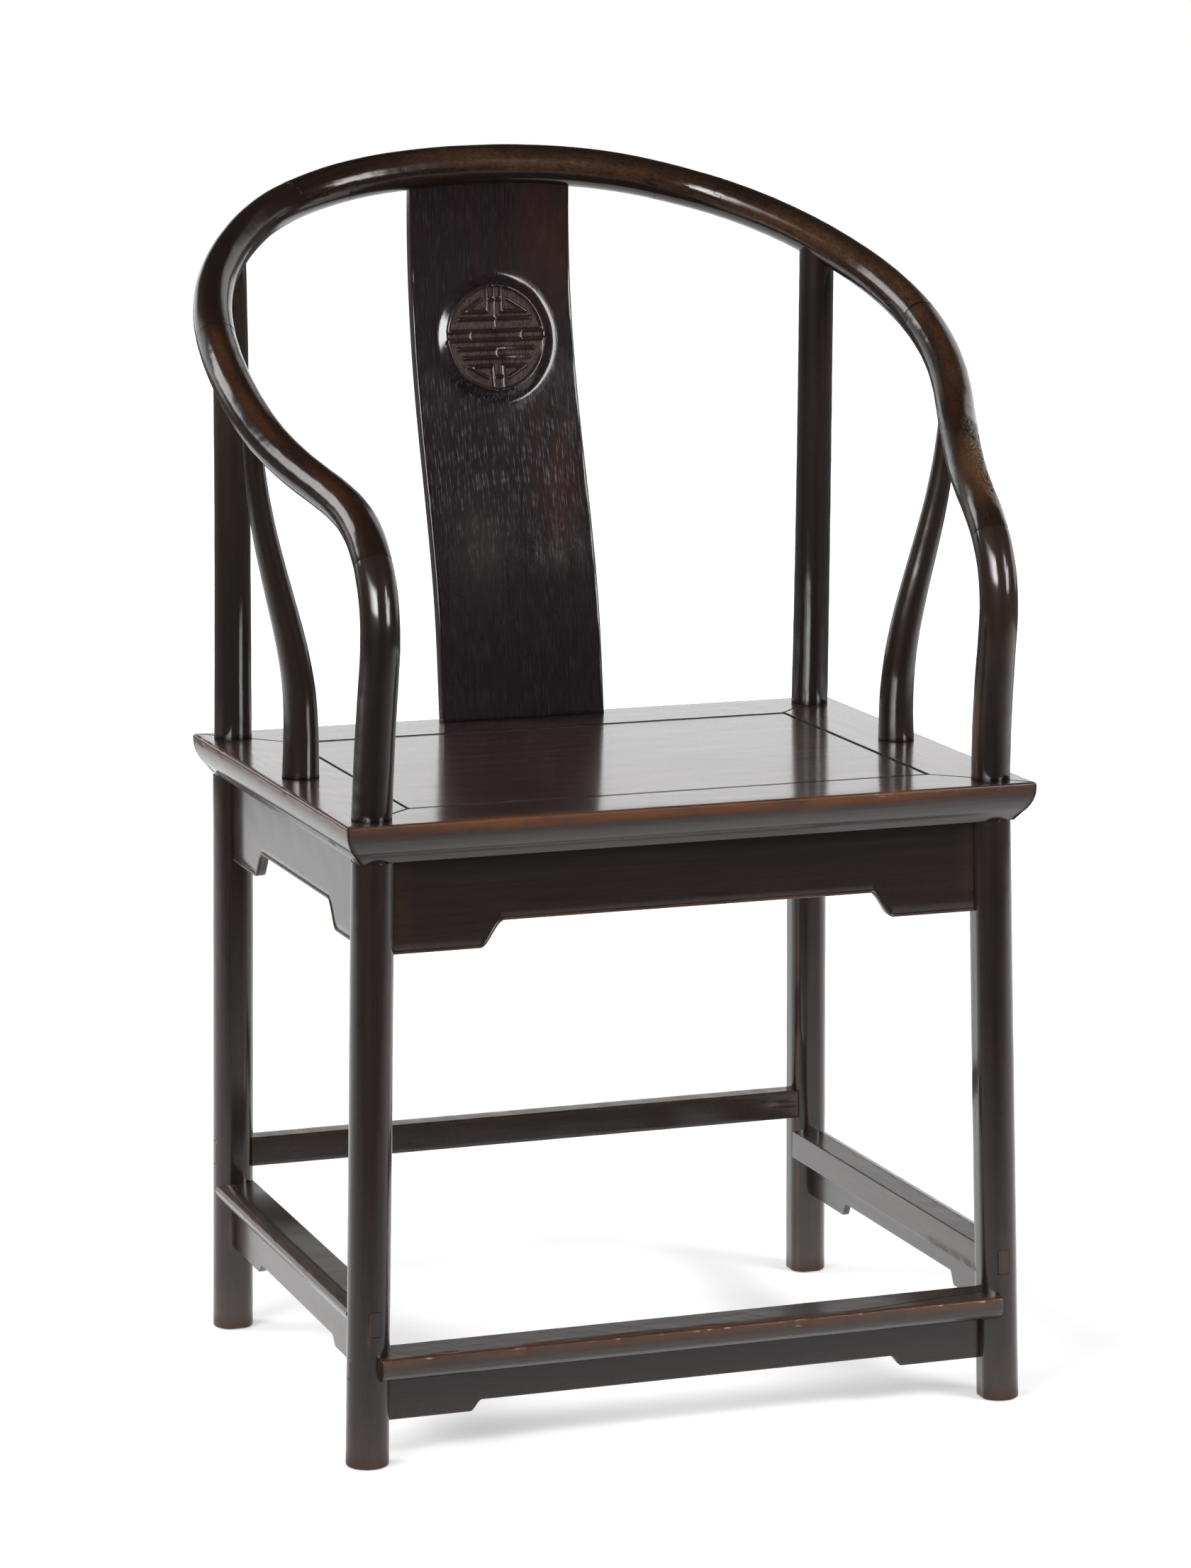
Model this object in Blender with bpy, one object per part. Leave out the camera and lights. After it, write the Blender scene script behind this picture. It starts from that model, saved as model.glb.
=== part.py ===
# Horseshoe back armchair in dark hardwood. Sizes are in metres and +Z is up.
# The front faces -Y. Left and right are those of someone looking at the front, so left is -X.
# Every shape is drawn about the middle of the seat and then moved back to the object's own middle.

import bmesh
import bpy
from math import acos, asin, atan2, cos, hypot, pi, sin, sqrt
from mathutils import Vector

# General
sides = {"left": -1, "right": 1}
seat_middle_y = -0.0421
joint_gap = 0.0003
cut_margin = 0.005
wood_colour = (0.052, 0.031, 0.022)
wood_tones = (0.9, 1.0, 1.12, 0.95, 1.06)
wood_roughness = 0.34
sharp_angle = pi / 5
line_samples = 400
heading_step = 0.001
search_steps = 30

# Seat frame and panel
seat_width = 0.570
seat_depth = 0.445
seat_top = 0.509
seat_thickness = 0.0317
seat_underside = seat_top - seat_thickness
seat_edge = (
    (0.0016, 0.0),
    (0.0005, 0.0005),
    (0.0, 0.0018),
    (0.0, 0.004),
    (0.0003, 0.009),
    (0.0020, 0.015),
    (0.0052, 0.021),
    (0.0090, 0.0255),
    (0.0138, seat_thickness),
)
side_rail_width = 0.0665
front_rail_width = 0.0605
rear_rail_width = 0.070
groove_depth = 0.008
panel_lip = 0.0045
groove_height = 0.0050
groove_high = seat_top - panel_lip
groove_low = groove_high - groove_height
panel_gap = 0.0015
tongue_play = 0.0015
front_tenon_width = 0.016
rear_tenon_width = 0.026
rail_tenon_height = 0.0145
rail_tenon_play = 0.0005
rail_tenon_high = groove_low - rail_tenon_play
rail_tenon_low = rail_tenon_high - rail_tenon_height
batten_width = 0.030
batten_height = 0.016
batten_x = 0.092
batten_slope = 0.0015

# Legs. Their section is square on the two inner sides and round on the two outer ones.
leg_radius = 0.0170
leg_flat = 0.0156
leg_arc_steps = 14
leg_arris = 0.0007
foot_arris = 0.0016
leg_top = seat_underside - joint_gap
post_root_rise = 0.0002
leg_ends = {
    "front": ((0.2569, -0.1948), (0.2676, -0.2015)),
    "rear": ((0.2575, 0.1976), (0.2622, 0.2043)),
}
leg_measured_top = 0.471
post_hole_gap = 0.0008
post_hole_shares = (-0.4, 1.4)
post_roots = {
    "front": (0.2572, -0.1948, leg_top + post_root_rise, 0.0154),
    "rear": (0.2580, 0.1969, leg_top + post_root_rise, 0.0150),
}

# Centre lines as spline controls on the right-hand side. Each is x, y, height above the seat and radius.
rail_controls = (
    (0.0, 0.2940, 0.4625, 0.0175),
    (0.0802, 0.2940, 0.4625, 0.0171),
    (0.1697, 0.2880, 0.4442, 0.0164),
    (0.2346, 0.2253, 0.4195, 0.0160),
    (0.2843, 0.1488, 0.3827, 0.0160),
    (0.3051, 0.0708, 0.3467, 0.0160),
    (0.3047, 0.0044, 0.3073, 0.0159),
    (0.2918, -0.0379, 0.2734, 0.0158),
    (0.2752, -0.0898, 0.2510, 0.0155),
    (0.2559, -0.1496, 0.2327, 0.0153),
    (0.2541, -0.1956, 0.2033, 0.01515),
    (0.2547, -0.2223, 0.1425, 0.01525),
    (0.2555, -0.1986, 0.0782, 0.0156),
    (0.2574, -0.1946, 0.0, 0.0158),
)
side_post_controls = (
    (0.2572, -0.0017, 0.0, 0.0149),
    (0.2566, -0.0011, 0.0246, 0.0143),
    (0.2557, -0.0063, 0.0738, 0.0132),
    (0.2750, -0.0081, 0.1475, 0.0111),
    (0.2935, -0.0115, 0.2212, 0.0091),
    (0.2964, -0.0121, 0.2704, 0.0075),
    (0.2991, -0.0103, 0.2950, 0.0067),
)
rear_post_controls = (
    (0.2583, 0.1938, 0.0, 0.0157),
    (0.2584, 0.1883, 0.1335, 0.0150),
    (0.2574, 0.1840, 0.2670, 0.0147),
    (0.2590, 0.1860, 0.4000, 0.0147),
)
round_points = 24
slim_points = 18
rail_spacing = 0.0190
post_spacing = 0.028
front_leg_spacing = 0.0196
rear_leg_spacing = 0.056
rear_rail_span = (0.255, 0.365)
side_rail_span = (0.495, 0.585)
side_post_root_radius = 0.0090
side_post_tenon_length = 0.024

# Crest rail joints, as distances along its centre line from the back's middle
back_joint_at = {"left": 0.161, "right": 0.179}
side_joint_at = {"left": 0.417, "right": 0.422}
elbow_joint_at = 0.756
lap_length = 0.054
nub_length = 0.0075
nub_height = 0.0038
half_gap = 0.00015
lap_step = 0.009
lap_reach = 0.030
pin_thick = 0.0050
pin_thin = 0.0040
pin_inset_share = 0.975
pin_hole_share = 1.4
elbow_tenon_radius = 0.0070
elbow_tenon_length = 0.022
post_tenon_radius = 0.0060
side_tenon_radius = 0.0038
post_tenon_rise = 0.0130
side_tenon_rise = 0.0110
post_tenon_root = 0.039
tenon_points = 16

# Splat: the height above the seat and the front face of each station
splat_controls = (
    (0.0, 0.2007),
    (0.0302, 0.2044),
    (0.0906, 0.2091),
    (0.1812, 0.2361),
    (0.2718, 0.2684),
    (0.3624, 0.2860),
    (0.4228, 0.2880),
    (0.4530, 0.2858),
)
splat_stations = 26
splat_half_width_low = 0.0725
splat_half_width_high = 0.0711
splat_thickness = 0.0117
splat_chamfer = 0.0035
splat_tongue_half_width = 0.060
splat_tongue_thickness = 0.0060
splat_tongue_drop = 0.015
splat_tongue_top = 0.4540
splat_tongue_root = 0.035
splat_saddle_share = 1.3
splat_slope_step = 0.002

# Medallion on the splat, as lengths from its middle
medallion_height = 0.3166
cushion_rings = (
    (0.0020, -0.0030),
    (0.0300, -0.0030),
    (0.0600, -0.0030),
    (0.0600, 0.0001),
    (0.0570, 0.0008),
    (0.0540, 0.0020),
    (0.0510, 0.0035),
    (0.0480, 0.0046),
    (0.0458, 0.0049),
    (0.0442, 0.0047),
    (0.0430, 0.0039),
    (0.0300, 0.0039),
    (0.0150, 0.0039),
    (0.0020, 0.0039),
)
cushion_points = 24
fret_width_share = 0.966
fret_base_width = 0.0036
fret_top_width = 0.0018
fret_sink = 0.0035
fret_rise = 0.0054
fret_step = 0.00006
fret_ring_radius = 0.0440
fret_ring_steps = 8
fret_top_gap = 0.0066
fret_bottom_gap = 0.0045
fret_upper_bar = 0.0056
fret_lower_bar = -0.0018
fret_hook_up = 0.0219
fret_hook_out = 0.0290
fret_foot_up = -0.0240
fret_foot_out = 0.0265
fret_link_up = 0.0330
fret_pair_up = -0.0092
fret_pair_low = -0.0168
fret_bars = (
    ((0.0, fret_ring_radius), (0.0, 0.0270), (0.0, 0.0081)),
    ((-fret_top_gap, 0.0322), (fret_top_gap, 0.0322)),
    ((-0.0330, 0.0160), (0.0330, 0.0160)),
    ((-0.0350, fret_pair_up), (0.0350, fret_pair_up)),
    ((-0.0300, fret_pair_low), (0.0300, fret_pair_low)),
    ((0.0, fret_pair_up), (0.0, fret_pair_low)),
    ((-fret_bottom_gap, -fret_link_up), (fret_bottom_gap, -fret_link_up)),
)
fret_hooks = (
    (
        (fret_top_gap, 0.0436),
        (fret_top_gap, fret_link_up),
        (fret_top_gap, fret_hook_up),
        (fret_hook_out, fret_hook_up),
    ),
    (
        (fret_bottom_gap, -0.0438),
        (fret_bottom_gap, -fret_link_up),
        (fret_bottom_gap, fret_foot_up),
        (fret_foot_out, fret_foot_up),
    ),
)
fret_strokes = (
    ((fret_hook_out, fret_hook_up), (0.0120, 0.0325)),
    ((0.0234, fret_upper_bar), (0.0234, fret_lower_bar)),
    ((fret_foot_out, fret_foot_up), (0.0100, -0.0335)),
)

# Aprons
apron_gap = 0.0003
apron_bead_width = 0.0024
apron_bead_rise = 0.0009
apron_thickness = 0.0085
apron_flat_steps = 2
apron_curve_steps = 7
apron_slope_step = 0.0005
front_apron_height = 0.0735
front_apron_middle = 0.0527
side_apron_height = 0.0710
side_apron_middle = 0.0495
front_apron_step = 0.1625
front_apron_run = 0.010
front_apron = {
    "low": leg_top - front_apron_height,
    "mid": leg_top - front_apron_middle,
    "step": front_apron_step,
    "run": front_apron_run,
    "face": 0.2009,
}
rear_apron = {
    "low": leg_top - front_apron_height,
    "mid": leg_top - front_apron_middle,
    "step": front_apron_step,
    "run": front_apron_run,
    "face": 0.2022,
}
side_apron = {
    "low": leg_top - side_apron_height,
    "mid": leg_top - side_apron_middle,
    "step": 0.1045,
    "run": 0.011,
    "face": 0.2632,
}
foot_apron = {"low": 0.0334, "mid": 0.0422, "step": 0.1780, "run": 0.005, "face": 0.2014}
low_aprons = {
    "left": {"low": 0.0695, "mid": 0.0774, "step": 0.1100, "run": 0.006, "face": 0.0015},
    "right": {"low": 0.0695, "mid": 0.0807, "step": 0.1145, "run": 0.004, "face": 0.0060},
}
low_apron_thickness = 0.0060
foot_apron_thickness = 0.0080

# Stretchers, as sections of outward distance and height
foot_rest_section = (
    (0.1853, 0.0893),
    (0.2235, 0.0893),
    (0.2250, 0.0888),
    (0.2256, 0.0872),
    (0.2256, 0.0798),
    (0.2243, 0.0757),
    (0.2210, 0.0722),
    (0.2147, 0.0689),
    (0.1853, 0.0689),
)
foot_rest_end_inset = 0.0046
side_stretcher_section = (
    (-0.0153, 0.1040),
    (0.0030, 0.1040),
    (0.0085, 0.1078),
    (0.0128, 0.1122),
    (0.0158, 0.1165),
    (0.0170, 0.1195),
    (0.0172, 0.1216),
    (0.0158, 0.1243),
    (0.0120, 0.1264),
    (0.0066, 0.1275),
    (-0.0153, 0.1278),
)
side_stretcher_front_inset = 0.0040
side_stretcher_rear_inset = 0.0056
rear_stretcher_low = 0.1412
rear_stretcher_high = 0.1655
rear_stretcher_front = 0.1884
rear_stretcher_back = 0.2084
rear_stretcher_arris = 0.0008
stretcher_tenon_thickness = 0.0100
stretcher_tenon_trim = 0.0020
stretcher_tenon_root = 0.012
stretcher_tenon_shares = (-1.0, -0.5, 0.0, 0.5, 1.0)
leg_tool_heights = (0.05, 0.20)


def clear_scene():
    for old in list(bpy.data.objects):
        bpy.data.objects.remove(old, do_unlink=True)


def paint(thing):
    tone = wood_tones[len(bpy.data.materials) % len(wood_tones)]
    material = bpy.data.materials.new(thing.name + "_wood")
    material.use_nodes = True
    shader = material.node_tree.nodes["Principled BSDF"]
    colour = tuple(part * tone for part in wood_colour) + (1.0,)
    shader.inputs["Base Color"].default_value = colour
    shader.inputs["Roughness"].default_value = wood_roughness
    shader.inputs["Metallic"].default_value = 0.0
    material.diffuse_color = colour
    thing.data.materials.append(material)


def placed(name, shape, piece=True):
    bmesh.ops.recalc_face_normals(shape, faces=shape.faces)
    mesh = bpy.data.meshes.new(name)
    shape.to_mesh(mesh)
    shape.free()
    thing = bpy.data.objects.new(name, mesh)
    bpy.context.scene.collection.objects.link(thing)
    thing.location.y = seat_middle_y
    if piece:
        paint(thing)
    else:
        thing.hide_render = True
        thing.display_type = "WIRE"
    return thing


# Every ring has as many points as the next, and the first and the last are closed with a face each.
def add_loft(shape, rings):
    rows = [[shape.verts.new(point) for point in ring] for ring in rings]
    for low, high in zip(rows, rows[1:]):
        for index, corner in enumerate(low):
            after = (index + 1) % len(low)
            shape.faces.new((corner, low[after], high[after], high[index]))
    shape.faces.new(rows[0])
    shape.faces.new(rows[-1][::-1])


def loft(name, rings, piece=True):
    shape = bmesh.new()
    add_loft(shape, rings)
    return placed(name, shape, piece)


def round_off(thing):
    for face in thing.data.polygons:
        face.use_smooth = True
    thing.data.set_sharp_from_angle(angle=sharp_angle)


def combine(thing, tool, operation, itself=False):
    step = thing.modifiers.new(operation.lower() + "_" + tool.name, "BOOLEAN")
    step.operation = operation
    step.object = tool
    step.solver = "EXACT"
    step.use_self = itself


def cut(thing, tool):
    combine(thing, tool, "DIFFERENCE")


def join(thing, tool, itself=False):
    combine(thing, tool, "UNION", itself)


def box(name, low, high):
    rings = []
    for z in (low[2], high[2]):
        corners = ((low[0], low[1]), (high[0], low[1]), (high[0], high[1]), (low[0], high[1]))
        rings.append([(x, y, z) for x, y in corners])
    return loft(name, rings, False)


def ring_about(centre, across, upward, radius, points):
    turns = [2 * pi * index / points for index in range(points)]
    return [centre + radius * (cos(turn) * across + sin(turn) * upward) for turn in turns]


def level_ring(centre, radius, points):
    return ring_about(Vector(centre), Vector((1, 0, 0)), Vector((0, 1, 0)), radius, points)


def mirrored(ring, side):
    return [(side * point[0], point[1], point[2]) for point in ring]


# A clamped cubic spline through the first and the last of its controls
def spline(controls, share):
    spans = len(controls) - 3
    knots = [0.0] * 3 + [index / spans for index in range(spans + 1)] + [1.0] * 3
    span = min(int(share * spans), spans - 1) + 3
    near = [Vector(controls[span - 3 + index]) for index in range(4)]
    for level in range(1, 4):
        for index in range(3, level - 1, -1):
            low = knots[span - 3 + index]
            high = knots[span + 1 + index - level]
            near[index] = near[index - 1].lerp(near[index], (share - low) / (high - low))
    return near[3]


def above_seat(controls):
    return [(x, y, seat_top + height, radius) for x, y, height, radius in controls]


class CentreLine:
    def __init__(self, controls):
        self.points = [spline(controls, index / line_samples) for index in range(line_samples + 1)]
        self.travelled = [0.0]
        for before, after in zip(self.points, self.points[1:]):
            self.travelled.append(self.travelled[-1] + (after.xyz - before.xyz).length)
        self.length = self.travelled[-1]
        self.start = 0.0 if controls[0][0] else -self.length

    # The point and the radius at a distance. A distance under zero is on the other side of the middle.
    def at(self, distance):
        wanted = min(abs(distance), self.length)
        index = 1
        while self.travelled[index] < wanted and index < line_samples:
            index += 1
        start = self.travelled[index - 1]
        share = (wanted - start) / (self.travelled[index] - start)
        found = self.points[index - 1].lerp(self.points[index], share)
        if distance < 0:
            found.x = -found.x
        return found.xyz, found.w

    def heading(self, distance):
        before = self.at(max(distance - heading_step, self.start))[0]
        after = self.at(min(distance + heading_step, self.length))[0]
        return (after - before).normalized()

    def level_frame(self, distance):
        ahead = self.heading(distance)
        across = ahead.cross(Vector((0, 0, 1))).normalized()
        return across, across.cross(ahead).normalized()

    def upright_frame(self, distance):
        ahead = self.heading(distance)
        across = Vector((1, 0, 0))
        across = (across - ahead * across.dot(ahead)).normalized()
        return across, ahead.cross(across).normalized()


def stations(start, end, spacing):
    count = max(1, round(abs(end - start) / spacing))
    return [start + (end - start) * index / count for index in range(count + 1)]


def tube_rings(line, start, end, spacing, points, wider=0.0, upright=False):
    rings = []
    for distance in stations(start, end, spacing):
        centre, radius = line.at(distance)
        across, upward = line.upright_frame(distance) if upright else line.level_frame(distance)
        rings.append(ring_about(centre, across, upward, radius + wider, points))
    return rings


rail_line = CentreLine(above_seat(rail_controls))
side_post_line = CentreLine(above_seat(side_post_controls))
rear_post_line = CentreLine(above_seat(rear_post_controls))


# Legs
def leg_xy(end, z):
    top, foot = leg_ends[end]
    share = z / leg_measured_top
    return tuple(low + (high - low) * share for low, high in zip(foot, top))


# Points of the section as steps outward from the arc's centre, away from the chair's middle
def leg_section(wider=0.0, arris=leg_arris):
    radius = leg_radius + wider
    flat = leg_flat + wider
    crease = sqrt(radius**2 - flat**2)
    half = [(-flat, arris - flat), (-flat, -crease / 2)]
    start = atan2(crease, -flat)
    turn = 2 * start - pi / 2
    arc = [start - turn * index / leg_arc_steps for index in range(leg_arc_steps + 1)]
    points = half + [(radius * cos(angle), radius * sin(angle)) for angle in arc]
    return points + [(along, across) for across, along in half[::-1]]


def leg_ring(end, side, z, wider=0.0, inset=0.0):
    x, y = leg_xy(end, z)
    back = -1 if end == "front" else 1
    section = leg_section(wider - inset)
    return [(side * (x + across), y + back * along, z) for across, along in section]


# A round ring whose points follow those of the leg's section, so that the two can be joined
def post_ring(end, side, centre, radius, across=None, along=None):
    back = -1 if end == "front" else 1
    across = across or Vector((1, 0, 0))
    along = along or Vector((0, 1, 0))
    ring = []
    for step_x, step_y in leg_section():
        size = hypot(step_x, step_y)
        point = Vector(centre) + radius * (step_x / size * across + back * step_y / size * along)
        ring.append((side * point.x, point.y, point.z))
    return ring


def leg_rings(end, side):
    rings = [leg_ring(end, side, 0.0, inset=foot_arris)]
    rings += [leg_ring(end, side, z) for z in (foot_arris, leg_top)]
    rings.append(post_ring(end, side, post_roots[end][:3], post_roots[end][3]))
    if end == "front":
        line = rail_line
        distances = stations(line.length, elbow_joint_at + half_gap, front_leg_spacing)
    else:
        line = rear_post_line
        distances = stations(0.0, line.length, rear_leg_spacing)
    for distance in distances:
        centre, radius = line.at(distance)
        across, along = line.upright_frame(distance)
        if along.y < 0:
            along = -along
        rings.append(post_ring(end, side, centre, radius, across, along))
    return rings


def post_hole(end, side, name):
    root = Vector(post_roots[end])
    top = rail_line.points[-1] if end == "front" else rear_post_line.points[0]
    rings = []
    for share in post_hole_shares:
        point = root.lerp(top, share)
        rings.append(mirrored(level_ring(point.xyz, point.w + post_hole_gap, round_points), side))
    return loft(name, rings, False)


def leg_mortises(leg, end, side):
    across_low, across_high = tenon_heights(end)
    along_low, along_high = tenon_heights("side")
    half = stretcher_tenon_thickness / 2 + joint_gap
    reach = leg_radius + cut_margin
    for low, high, wide, deep in (
        (across_low, across_high, reach, half),
        (along_low, along_high, half, reach),
    ):
        x, y = leg_xy(end, (low + high) / 2)
        tool = box(
            leg.name + "_mortise",
            (side * x - wide, y - deep, low - joint_gap),
            (side * x + wide, y + deep, high + joint_gap),
        )
        cut(leg, tool)


def front_leg(name, side):
    leg = loft(name, leg_rings("front", side))
    leg_mortises(leg, "front", side)
    start = elbow_joint_at + lap_step
    end = elbow_joint_at - elbow_tenon_length
    join(leg, round_tool(name + "_tenon", rail_line, start, end, elbow_tenon_radius, side))
    round_off(leg)


def rear_leg(name, side):
    leg = loft(name, leg_rings("rear", side))
    leg_mortises(leg, "rear", side)
    cut(leg, rail_tool(name + "_saddle", rear_rail_span, side))
    top = rear_post_tenon_top()
    join(leg, upright_tool(name + "_tenon", rear_post_line, top, post_tenon_radius, side))
    round_off(leg)


# Cutters that follow a centre line
def round_tool(name, line, start, end, radius, side):
    rings = []
    for distance in stations(start, end, lap_step):
        ring = ring_about(line.at(distance)[0], *line.level_frame(distance), radius, tenon_points)
        rings.append(mirrored(ring, side))
    return loft(name, rings, False)


def upright_tool(name, line, top, radius, side):
    x, y = line.at(line.length)[0].xy
    rings = [level_ring((x, y, z), radius, tenon_points) for z in (top - post_tenon_root, top)]
    return loft(name, [mirrored(ring, side) for ring in rings], False)


def rail_tool(name, span, side):
    rings = tube_rings(rail_line, *span, rail_spacing, round_points, joint_gap)
    return loft(name, [mirrored(ring, side) for ring in rings], False)


def rear_post_tenon_top():
    return seat_top + rear_post_controls[-1][2] - leg_radius + post_tenon_rise


def side_post_tenon_top():
    return seat_top + side_post_controls[-1][2] - leg_radius + side_tenon_rise


def side_post(name, side):
    line = side_post_line
    rings = tube_rings(line, 0.0, line.length, post_spacing, slim_points, upright=True)
    foot, radius = line.at(0.0)
    root_ends = (seat_top - side_post_tenon_length, seat_top + joint_gap)
    root = [level_ring((foot.x, foot.y, z), side_post_root_radius, slim_points) for z in root_ends]
    shoulder = level_ring((foot.x, foot.y, root_ends[1]), radius, slim_points)
    post = loft(name, [mirrored(ring, side) for ring in root + [shoulder] + rings[1:]])
    cut(post, rail_tool(name + "_saddle", side_rail_span, side))
    join(post, upright_tool(name + "_tenon", line, side_post_tenon_top(), side_tenon_radius, side))
    round_off(post)


# Crest rail. Each scarf has an upper and a lower tongue with a nub at its tip, and a pin across its middle.
def scarf_tool(name, side, joint, away):
    def place(along, height, across):
        distance = joint + away * along
        centre = rail_line.at(distance)[0]
        level, upward = rail_line.level_frame(distance)
        return centre + across * level + away * height * upward

    half = lap_length / 2
    tip = half + nub_length - joint_gap
    beyond = tip + cut_margin
    inner = stations(-half, half - joint_gap, lap_step)
    outline = [(-half - nub_length, half_gap), (-half - nub_length, -nub_height - joint_gap)]
    outline += [(-half, -nub_height - joint_gap), (-half, -lap_reach)]
    outline += [(along, -lap_reach) for along in inner[1:]]
    outline += [(beyond, -lap_reach), (beyond, lap_reach), (half - joint_gap, lap_reach)]
    outline += [(half - joint_gap, nub_height), (tip, nub_height), (tip, half_gap)]
    outline += [(along, half_gap) for along in inner[::-1]]
    rings = [[place(*point, across) for point in outline] for across in (-lap_reach, lap_reach)]
    return loft(name, [mirrored(ring, side) for ring in rings], False)


def pin_rings(side, joint, wider=0.0, longer=1.0):
    centre, radius = rail_line.at(joint)
    across, upward = rail_line.level_frame(joint)
    ahead = rail_line.heading(joint)
    rings = []
    for turn, thickness in ((1, pin_thick), (-1, pin_thin)):
        half = thickness / 2 + wider
        middle = centre + turn * radius * pin_inset_share * longer * across
        corners = ((-1, -1), (1, -1), (1, 1), (-1, 1))
        ring = [middle + half * (a * ahead + b * upward) for a, b in corners]
        rings.append(mirrored(ring, side))
    return rings


def pin(name, side, joint):
    loft(name, pin_rings(side, joint))


def scarf(section, side, joint, away):
    cut(section, scarf_tool(section.name + "_scarf", side, joint, away))
    cut(section, loft(section.name + "_pin_hole", pin_rings(side, joint, joint_gap, pin_hole_share), False))


def rail_section(name, start, end, side=1):
    rings = tube_rings(rail_line, start, end, rail_spacing, round_points)
    return loft(name, [mirrored(ring, side) for ring in rings])


def tongue_reach():
    return lap_length / 2 + nub_length - joint_gap


def crest_center():
    start = -back_joint_at["left"] - tongue_reach()
    end = back_joint_at["right"] + tongue_reach()
    section = rail_section("crest_rail_center", start, end)
    for name, side in sides.items():
        scarf(section, side, back_joint_at[name], 1)
    cut(section, splat_tongue_tool("splat_top_mortise", joint_gap))
    round_off(section)


def crest_back(name, side, which):
    start = back_joint_at[which] - tongue_reach()
    end = side_joint_at[which] + tongue_reach()
    section = rail_section(name, start, end, side)
    scarf(section, side, back_joint_at[which], -1)
    scarf(section, side, side_joint_at[which], 1)
    top = rear_post_tenon_top() + joint_gap
    cut(section, upright_tool(name + "_mortise", rear_post_line, top, post_tenon_radius + joint_gap, side))
    round_off(section)


def crest_arm(name, side, which):
    start = side_joint_at[which] - tongue_reach()
    section = rail_section(name, start, elbow_joint_at - half_gap, side)
    scarf(section, side, side_joint_at[which], -1)
    top = side_post_tenon_top() + joint_gap
    cut(section, upright_tool(name + "_mortise", side_post_line, top, side_tenon_radius + joint_gap, side))
    start = elbow_joint_at + cut_margin
    end = elbow_joint_at - elbow_tenon_length - joint_gap
    radius = elbow_tenon_radius + joint_gap
    cut(section, round_tool(name + "_socket", rail_line, start, end, radius, side))
    round_off(section)


# Splat and its medallion
def splat_face(z):
    low, high = 0.0, 1.0
    for _ in range(search_steps):
        middle = (low + high) / 2
        if seat_top + spline(splat_controls, middle)[0] < z:
            low = middle
        else:
            high = middle
    return spline(splat_controls, low)[1]


def splat_slope(z):
    rise = splat_face(z + splat_slope_step) - splat_face(z - splat_slope_step)
    return rise / (2 * splat_slope_step)


def splat_ring(z):
    share = (z - seat_top) / splat_controls[-1][0]
    half = splat_half_width_low + (splat_half_width_high - splat_half_width_low) * share
    front = splat_face(z)
    back = front + splat_thickness * hypot(1, splat_slope(z))
    trim = splat_chamfer
    outline = (
        (-half + trim, front),
        (half - trim, front),
        (half, front + trim),
        (half, back - trim),
        (half - trim, back),
        (-half + trim, back),
        (-half, back - trim),
        (-half, front + trim),
    )
    return [(x, y, z) for x, y in outline]


def splat_tongue_tool(name, wider):
    top = seat_top + splat_tongue_top
    middle = splat_face(top) + splat_thickness / 2
    half = splat_tongue_thickness / 2 + wider
    wide = splat_tongue_half_width + wider
    low = (-wide, middle - half, seat_top + rail_controls[0][2] - splat_tongue_root)
    return box(name, low, (wide, middle + half, top + wider))


def splat_foot_tool(name, wider):
    middle = splat_face(seat_top) + splat_thickness / 2
    half = splat_tongue_thickness / 2 + wider
    wide = splat_tongue_half_width + wider
    low = (-wide, middle - half, seat_top - splat_tongue_drop - wider)
    return box(name, low, (wide, middle + half, seat_top + cut_margin))


# A point on the splat's front, across and up from the medallion's middle and lifted off the wood
def on_splat(across, up, lift):
    z = seat_top + medallion_height + up
    slope = splat_slope(z)
    size = hypot(1, slope)
    return Vector((across * fret_width_share, splat_face(z) - lift / size, z + lift * slope / size))


def cushion():
    rings = []
    for radius, lift in cushion_rings:
        turns = [2 * pi * index / cushion_points for index in range(cushion_points)]
        rings.append([on_splat(radius * cos(turn), radius * sin(turn), lift) for turn in turns])
    return loft("medallion_cushion", rings, False)


# One raised bead of the fret along a line of points
def add_bead(shape, path, lower=0.0):
    rings = []
    for index, (across, up) in enumerate(path):
        before = path[max(index - 1, 0)]
        after = path[min(index + 1, len(path) - 1)]
        length = hypot(after[0] - before[0], after[1] - before[1])
        side_x, side_y = -(after[1] - before[1]) / length, (after[0] - before[0]) / length
        ring = []
        for turn, lift, width in (
            (-1, fret_sink, fret_base_width),
            (-1, fret_rise - lower, fret_top_width),
            (1, fret_rise - lower, fret_top_width),
            (1, fret_sink, fret_base_width),
        ):
            shift = turn * width / 2
            ring.append(on_splat(across + side_x * shift, up + side_y * shift, lift))
        rings.append(ring)
    add_loft(shape, rings)


def fret_arc(start, end, side):
    turns = [start + (end - start) * index / fret_ring_steps for index in range(fret_ring_steps + 1)]
    return [(side * fret_ring_radius * cos(turn), fret_ring_radius * sin(turn)) for turn in turns]


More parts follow.
